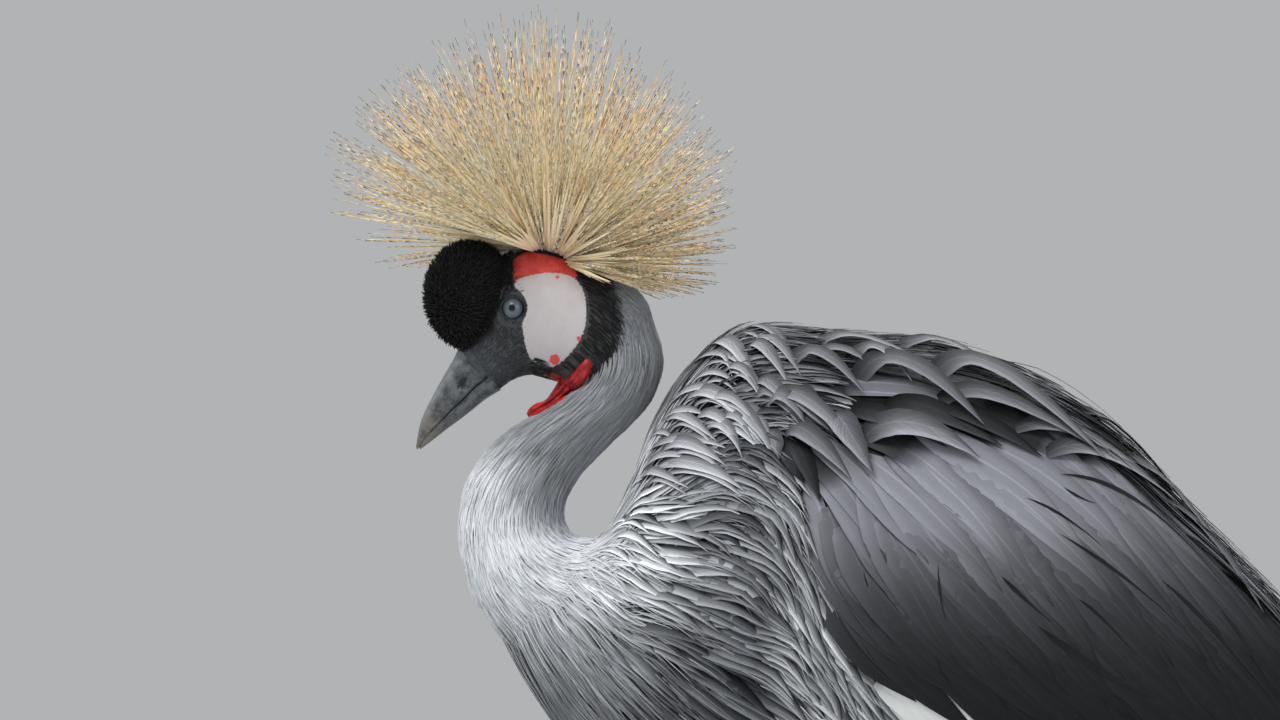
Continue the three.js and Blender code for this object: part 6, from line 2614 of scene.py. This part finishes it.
@dataclass
class Wing:
    """Both folded wings, tier by tier from the flesh outwards."""

    loose: int = 640

    def bed(self, tier: Tier, material: Material, tone: Colour, share: float, inset: float) -> None:
        """Makes the smooth layer that shows in the gaps of a tier, one for each side.

        Args:
            tier: The tier of feathers.
            material: Material of the pieces.
            tone: Colour of the layer.
            share: Share of the wing's depth at which it lies.
            inset: Degrees by which its edge stays inside the tier's.
        """
        for side, word in SIDES:
            t = np.linspace(tier.span[0] + 0.2, tier.span[1] + 0.8, 44)
            top = max(tier.top, 1.5)
            degrees = top + (tier.limit(t)[:, None] - inset - top) * steps(30)
            t = np.broadcast_to(t[:, None], degrees.shape)
            height = np.maximum(bed_height(t, degrees, share), 1.2 * MM)
            points, faces = shell(wing(t, side * degrees, height), wing(t, side * degrees, height - 0.8 * MM))
            draft = Draft()
            draft.add(
                points, faces if side > 0 else [block[:, ::-1] for block in faces],
                along=0.5, across=0.0, tint=tone,
                uv=np.tile(bake_place(t + BREAST, side * degrees).reshape(-1, 2), (2, 1)),
            )
            dress(draft.build(f"{tier.name}_bed_{word}", material), [f"{tier.name}_{word}"])

    def vanes(self, tier: Tier, material: Material, tone: Colour, rng: Rng) -> None:
        """Makes the long vanes of a tier's rows.

        Args:
            tier: The tier of feathers.
            material: Material of the pieces.
            tone: Colour of the feathers.
            rng: Source of random numbers.
        """
        width = (0.4, 0.75, 0.95, 1.0, 1.0, 0.98, 0.92, 0.78, 0.5, 0.08)
        cut = Cut(Section.VANE, width, 0.6, 0.10, 0.0, 0.04)
        for side, word in SIDES:
            draft = Draft()
            for row in tier.rows:
                order, shares = np.arange(row.count)[:, None], steps(24)
                t = row.at + (row.run - row.less * order) * shares
                degrees = row.first + row.step * order + row.turn * shares
                droop = 2.0 * rng.standard_normal((row.count, 1)) * shares
                rise = profile([-1.4, 0.2, 0.8, 1.0, 1.2, 1.4], shares) * row.lift
                rise = rise + 0.5 * (row.count - order) / row.count
                height = np.maximum(bed_height(t, degrees, tier.share) + rise * MM, 0.6 * MM)
                lines = lay(wing, t, side * (degrees + droop), height, BREAST)
                tint = shade(tone, 0.8 + 0.4 * rng.random(row.count))
                feather(draft, lines, 0.31 * row.width, cut, tint, rng)
            dress(draft.build(f"{tier.name}_vanes_{word}", material), [f"{tier.name}_{word}"])

    def cover(self, tier: Tier, material: Material, look: Cover, rng: Rng) -> None:
        """Makes the overlapping feathers of a tier, laid by the lie of the wing.

        Args:
            tier: The tier.
            material: Its material.
            look: Number, sizes and tones of its feathers.
            rng: Source of random numbers.
        """
        number = reduced(look.count)
        top = max(tier.top, 1.0)
        for side, word in SIDES:
            span = (top, 130.0) if side > 0 else (-130.0, -top)
            roots = scatter(wing, number * 2, (tier.span[0] - 0.2, tier.span[1] + 1.2), span, rng)
            short, long = look.length
            reach = short + (long - short) * ease(5.5, 10.0, roots[0])
            reach = reach + 0.1 * long * rng.random(len(roots[0]))
            stray = 0.05 * rng.standard_normal(len(reach))
            t, degrees = walk(wing, *roots, reach * MM, look.rings, by_lie(WING_LIE, stray))
            clear = (np.abs(degrees[:, -1]) < tier.limit(t[:, -1]) + 1.0) & (t[:, -1] < tier.span[1] + 2.4)
            # Slate feathers are left out of the shoulder's dark pockets, so the near-black bed shows there as
            # painted shade.
            if tier is SCAPULARS:
                shown = wing(t[:, 6::2], degrees[:, 6::2], 40 * MM)
                clear &= (hollow_depth(shown) < -1.5).all(axis=1) & (roots[0] > 5.4)
            kept = np.flatnonzero(clear)[:number]
            t, degrees = t[kept], degrees[kept]
            rise = look.lift * profile([-0.9, 0.1, 0.45, 0.7, 0.85, 0.95, 1.0], steps(look.rings))
            rise = rise * (0.75 + 0.5 * rng.random((len(kept), 1)))
            height = np.maximum(bed_height(t, degrees, tier.share) + rise * MM, 0.8 * MM)
            lines = lay(wing, t, degrees, height, BREAST)
            # Painted light and shade: each tier's feathers are paler high on the wing and further forward and
            # darker lower down, with some random spread.
            x, y = sheet_of(lines.centres)
            low = y - 0.1 * np.maximum(900 - x, 0)
            light = [0.95, 0.78, 0.4, 0.17, 0.08, 0.03, 0]
            light = np.interp(low, [470, 520, 556, 592, 628, 664, 740], light)
            light = np.clip(light * (1.0 + 0.12 * rng.standard_normal((len(kept), 1))), 0, 1)
            tint = fade(*look.tones, light)
            # Painted shade: slate feathers darkened in and around the dark pockets under the curled feathers.
            if tier is SCAPULARS:
                tint = shade(tint, 1.0 - 0.9 * ease(-2.0, 6.0, hollow_depth(lines.centres) + 4.0))
            half = look.half * (0.85 + 0.3 * rng.random(len(kept)))
            nodes = [f"{tier.name}_{word}"]
            name = f"{tier.name}_feathers_{word}"
            plumage(name, material, lines, half, look.cut, tint, rng, nodes)

    def curled(self, material: Material, rng: Rng) -> None:
        """Makes the large curled shoulder feathers that stand off the wing.

        Args:
            material: Material of the pieces.
            rng: Source of random numbers.
        """
        rows = np.concatenate([np.array(MANTLE, float) * THINNER[0] + THINNER[1], MANTLE, CURLED])
        half, stand = rows[:, 6], rows[:, 7]
        t, degrees = arcs(rows, 14)
        rise = profile([-0.5, 0.6, 1.0, 1.05, 0.9, 0.6], steps(14)) * stand[:, None] + 1.0
        height = bed_height(t, degrees, SCAPULARS.share) + rise * MM
        cut = Cut(Section.VANE, (0.3, 0.7, 0.92, 1.0, 0.97, 0.84, 0.62, 0.34, 0.03), 0.25, 0.0, 0.25, 0.05)
        for side, word in SIDES:
            wobble = 1.5 * rng.standard_normal((len(rows), 1)) * (side < 0)
            lines = lay(wing, t, side * (degrees + wobble), height, BREAST)
            # Paler towards the front with random spread; the feathers that stand less than 3 mm off the wing
            # lie in the dark pockets and are darkened to a fifth as painted shade.
            light = 0.35 * rng.random(len(rows)) + ease(1100, 900, rows[:, 2]) * 0.15
            light = light + 0.8 * ease(790, 700, rows[:, 2])
            tint = fade(paint(92, 94, 100), paint(176, 178, 184), np.clip(light, 0, 1))
            tint = shade(tint, np.where(stand < 3.0, 0.2, 1.0))
            wide = np.where(half > 4.0, 1.1, 1.3) * half
            plumage(f"curled_scapulars_{word}", material, lines, wide, cut, tint, rng)

    def gap_shadow_strips(self, material: Material, rng: Rng) -> None:
        """Makes the narrow near-black strips of painted shadow that stand for the gaps between the slate
        feathers.

        Args:
            material: Material of the pieces.
            rng: Source of random numbers.
        """
        rows = np.array(GAP_SHADOW_STRIPS, float)
        t, degrees = arcs(rows, 16)
        height = bed_height(t, degrees, SCAPULARS.share) + 1.2 * MM
        cut = Cut(Section.BLADE, (0.05, 0.7, 1.0, 0.8, 0.5, 0.3, 0.1), 0.2, 0.0)
        draft = Draft()
        for side, _ in SIDES:
            lines = lay(wing, t, side * degrees, height, BREAST)
            feather(draft, lines, rows[:, 6], cut, shade(INK, np.full(len(rows), 0.6)), rng)
        dress(draft.build("slate_gaps", material))

    def ridge(self, material: Material, rng: Rng) -> None:
        """Makes the loose dark feathers along the back's ridge.

        Args:
            material: Material of the pieces.
            rng: Source of random numbers.
        """
        count = reduced(self.loose)
        t = 4.6 + 8.2 * rng.random(count)
        degrees = 60.0 * (rng.random(count) - 0.5)
        length = (42 + 44 * rng.random(count)) * MM
        stray = 0.09 * rng.standard_normal(count) - 0.03
        t, degrees = walk(wing, t, degrees, length, 8, by_lie(WING_LIE, stray, 0.8))
        rise = profile([-2.0, 0.6, 2.0, 3.2, 4.2, 4.8, 5.2], steps(8)) * (0.2 + 0.9 * rng.random((count, 1)))
        height = np.maximum(bed_height(t, degrees, 0.8) + rise * MM, 0.6 * MM)
        lines = lay(wing, t, degrees, height, BREAST)
        tone = fade(DARK_SLATE_AND_SHADE, MID_GREY, rng.random(count) ** 4.0)
        half = 0.6 + 2.0 * rng.random(count)
        cut = Cut(Section.BLADE, (0.5, 0.9, 1.0, 0.9, 0.7, 0.5, 0.25, 0.04), 0.3, 0.1, 0.3, 0.2)
        plumage("back_ridge_feathers", material, lines, half, cut, tone, rng)

    def build(self, palette: Palette, rng: Rng) -> None:
        """Makes the tiers from the innermost outwards.

        Args:
            palette: The scene's materials.
            rng: Source of random numbers.
        """
        self.bed(PRIMARIES, palette.black, INK, 0.05, 4)
        self.vanes(PRIMARIES, palette.black, INK, rng)
        self.bed(SECONDARIES, palette.chestnut, CHESTNUT, 0.22, 4)
        self.vanes(SECONDARIES, palette.chestnut, CHESTNUT, rng)
        self.cover(GOLDEN, palette.gold, GOLD_COVER, rng)
        self.bed(COVERTS, palette.white, COVERT_WHITE, 0.53, 5)
        self.cover(COVERTS, palette.white, WHITE_COVER, rng)
        # The scapulars' bed is near black: painted shade that shows in the gaps and dark pockets between the
        # slate feathers.
        self.bed(SCAPULARS, palette.slate, DARK_SLATE_AND_SHADE, 0.66, 6)
        self.cover(SCAPULARS, palette.slate, SLATE_COVER, rng)
        self.curled(palette.curled, rng)
        self.gap_shadow_strips(palette.velvet, rng)
        self.ridge(palette.curled, rng)


@dataclass
class Tail:
    """Fan of black tail feathers."""

    fan: tuple[float, ...] = (-18, -14, -10, -6, -2, 2, 6, 10, 14, 18)
    root_feathers: int = 300

    def build(self, palette: Palette, rng: Rng) -> None:
        """Makes the fan and the small feathers over its root.

        Args:
            palette: The scene's materials.
            rng: Source of random numbers.
        """
        heading = np.array(self.fan)
        order = np.abs(np.arange(len(heading)) - (len(heading) - 1) / 2)[:, None]
        t = 4.0 * np.linspace(0.12, 1.0, 24) * (1.0 - 0.03 * order)
        ends = TAIL_FORM.section(t)
        up = unit(ends[..., 0:2] - ends[..., 2:4])
        rise = (4.2 - order * 1.5 - t * 0.4) * MM
        side = 0.5 * (ends[..., 0:2] + ends[..., 2:4]) + up * rise[..., None]
        x = np.tan(np.radians(heading))[:, None] * (t - 0.3) * 46 * 0.62 * MM
        centres = np.concatenate([x[..., None], side], axis=-1)
        ups = np.concatenate([np.zeros_like(x)[..., None], up], axis=-1)
        roots = np.stack([np.full(len(heading), 0.95), 0.5 + heading / 60.0], axis=-1)
        cut = Cut(Section.VANE, (0.5, 0.7, 0.85, 0.95, 1.0, 1.0, 1.0, 0.95, 0.8, 0.3), 0.6, 0.08, 0.0, 0.04)
        tint = shade(INK, 0.8 + 0.5 * rng.random(len(heading)))
        lines = Threads(centres, ups, roots)
        plumage("tail_vanes", palette.black, lines, 11.0, cut, tint, rng, ["tail"])
        self.build_root(palette.slate, rng)

    def build_root(self, material: Material, rng: Rng) -> None:
        """Makes the grey feathers that cover the tail's root.

        Args:
            material: Material of the pieces.
            rng: Source of random numbers.
        """
        count = self.root_feathers
        t = rng.random(count) * 1.5 - 0.2
        degrees = 360 * rng.random(count) - 180
        run = t[:, None] + 0.75 * steps(8)
        rise = np.array([-1.0, 1.0, 1.8, 2.2, 2.4, 2.4, 2.2, 2.0]) * (0.5 + 0.6 * rng.random((count, 1)))
        height = (rise - 5.0 * ease(0.2, 1.8, run)) * MM
        lines = lay(TAIL_FORM, run, np.broadcast_to(degrees[:, None], run.shape), height, BODY_END)
        tone = fade(INK, HACKLE_DEEP, rng.random(count))
        half = 3.0 + 1.5 * rng.random(count)
        cut = Cut(Section.BLADE, (0.6, 0.95, 1.0, 1.0, 0.92, 0.75, 0.45, 0.08), 0.4, 0.3, 0.0, 0.3)
        plumage("tail_root_feathers", material, lines, half, cut, tone, rng, ["tail"])


def aim_rotation(way: Sequence[float]) -> tuple[float, float, float]:
    """Euler angles that point an object's -Z along a direction, with its Y upwards."""
    x, y, z = unit(np.asarray(way, float))
    return math.acos(-z), 0.0, math.atan2(-x, y)


@dataclass
class Studio:
    """Pale floor, soft lights and the camera at the photograph's angle."""

    distance: float = 6.0
    floor_half: float = 9.0
    sensor: float = 36.0
    aim: tuple[float, float, float] = (0.0, -0.05, 0.5)

    def place(
        self, name: str, data: bpy.types.ID, spot: Sequence[float], way: Sequence[float],
    ) -> bpy.types.Object:
        """Sets a light or a camera in the scene, pointed along a direction.

        Args:
            name: Name of the object.
            data: Its light or camera.
            spot: Where it stands.
            way: Where it points.

        Returns:
            The object.
        """
        made = bpy.data.objects.new(name, data)
        made.location = spot
        made.rotation_euler = aim_rotation(way)
        bpy.context.scene.collection.objects.link(made)
        return made

    def build(self, palette: Palette) -> None:
        """Makes the floor, the lights, the backdrop and the camera.

        Args:
            palette: The scene's materials.
        """
        self.build_floor(palette.floor)
        self.build_light("key", (1.9, -1.5, 3.6), 1.8, 115.0)
        self.build_light("fill", (3.0, 1.6, 1.4), 2.6, 26.0)
        self.build_light("back", (-2.4, 0.4, 2.8), 2.6, 46.0)
        view = bpy.context.scene.view_settings
        view.view_transform = "Standard"
        view.exposure = 0.0
        world = bpy.data.worlds.new("pale_studio")
        world.use_nodes = True
        sky = world.node_tree.nodes["Background"]
        Graph(world.node_tree).fill(sky, {"Color": (0.80, 0.82, 0.83), "Strength": 0.55})
        bpy.context.scene.world = world
        self.build_camera()

    def build_floor(self, material: Material) -> None:
        """Makes the plain pale floor.

        Args:
            material: Material of the pieces.
        """
        half = self.floor_half
        mesh = bpy.data.meshes.new("floor")
        corners = [(-half, -half, 0), (half, -half, 0), (half, half, 0), (-half, half, 0)]
        mesh.from_pydata(corners, [], [(0, 1, 2, 3)])
        mesh.materials.append(material)
        floor = bpy.data.objects.new("floor", mesh)
        bpy.context.scene.collection.objects.link(floor)

    def build_light(self, name: str, spot: tuple[float, float, float], size: float, power: float) -> None:
        """Makes one soft light aimed at the bird.

        Args:
            name: Name of the light.
            spot: Where it stands.
            size: Width of its face.
            power: Its power in watts.
        """
        data = bpy.data.lights.new(name, "AREA")
        data.shape = "DISK"
        data.size = size
        data.energy = power
        self.place(name, data, spot, np.array(self.aim) - np.array(spot))

    def build_camera(self) -> None:
        """Makes the camera: a long lens level with the bird's head, from its left side."""
        data = bpy.data.cameras.new("camera")
        data.sensor_width = self.sensor
        data.lens = self.sensor * self.distance / (PHOTO_WIDTH * STEP)
        data.clip_end = 100.0
        spot = (self.distance, *side_view(PHOTO_WIDTH / 2, PHOTO_HEIGHT / 2))
        bpy.context.scene.camera = self.place("camera", data, spot, (-1.0, 0.0, 0.0))


def main() -> None:
    """Builds the bird in order."""
    logging.basicConfig(level=logging.INFO, format="%(message)s")
    palette = Palette()
    for part in (Hide(), Bill(), Eyes(), Wattle()):
        part.build(palette)
    coats = (VelvetCap(), Crest(), HeadCoat(), NeckCoat(), BodyCoat(), ThighCoat(), Wing(), Tail())
    for seed, coat in enumerate(coats, 11):
        coat.build(palette, np.random.default_rng(seed))
    Legs().build(palette)
    Studio().build(palette)
    meshes = [thing for thing in bpy.data.objects if thing.type == "MESH"]
    pieces = [piece for piece in meshes if piece.name not in SOLIDS and piece.name != "floor"]
    total = sum(triangles(piece) for piece in pieces)
    LOG.info("all %d pieces have %d triangles", len(pieces), total)


if __name__ == "__main__":
    main()
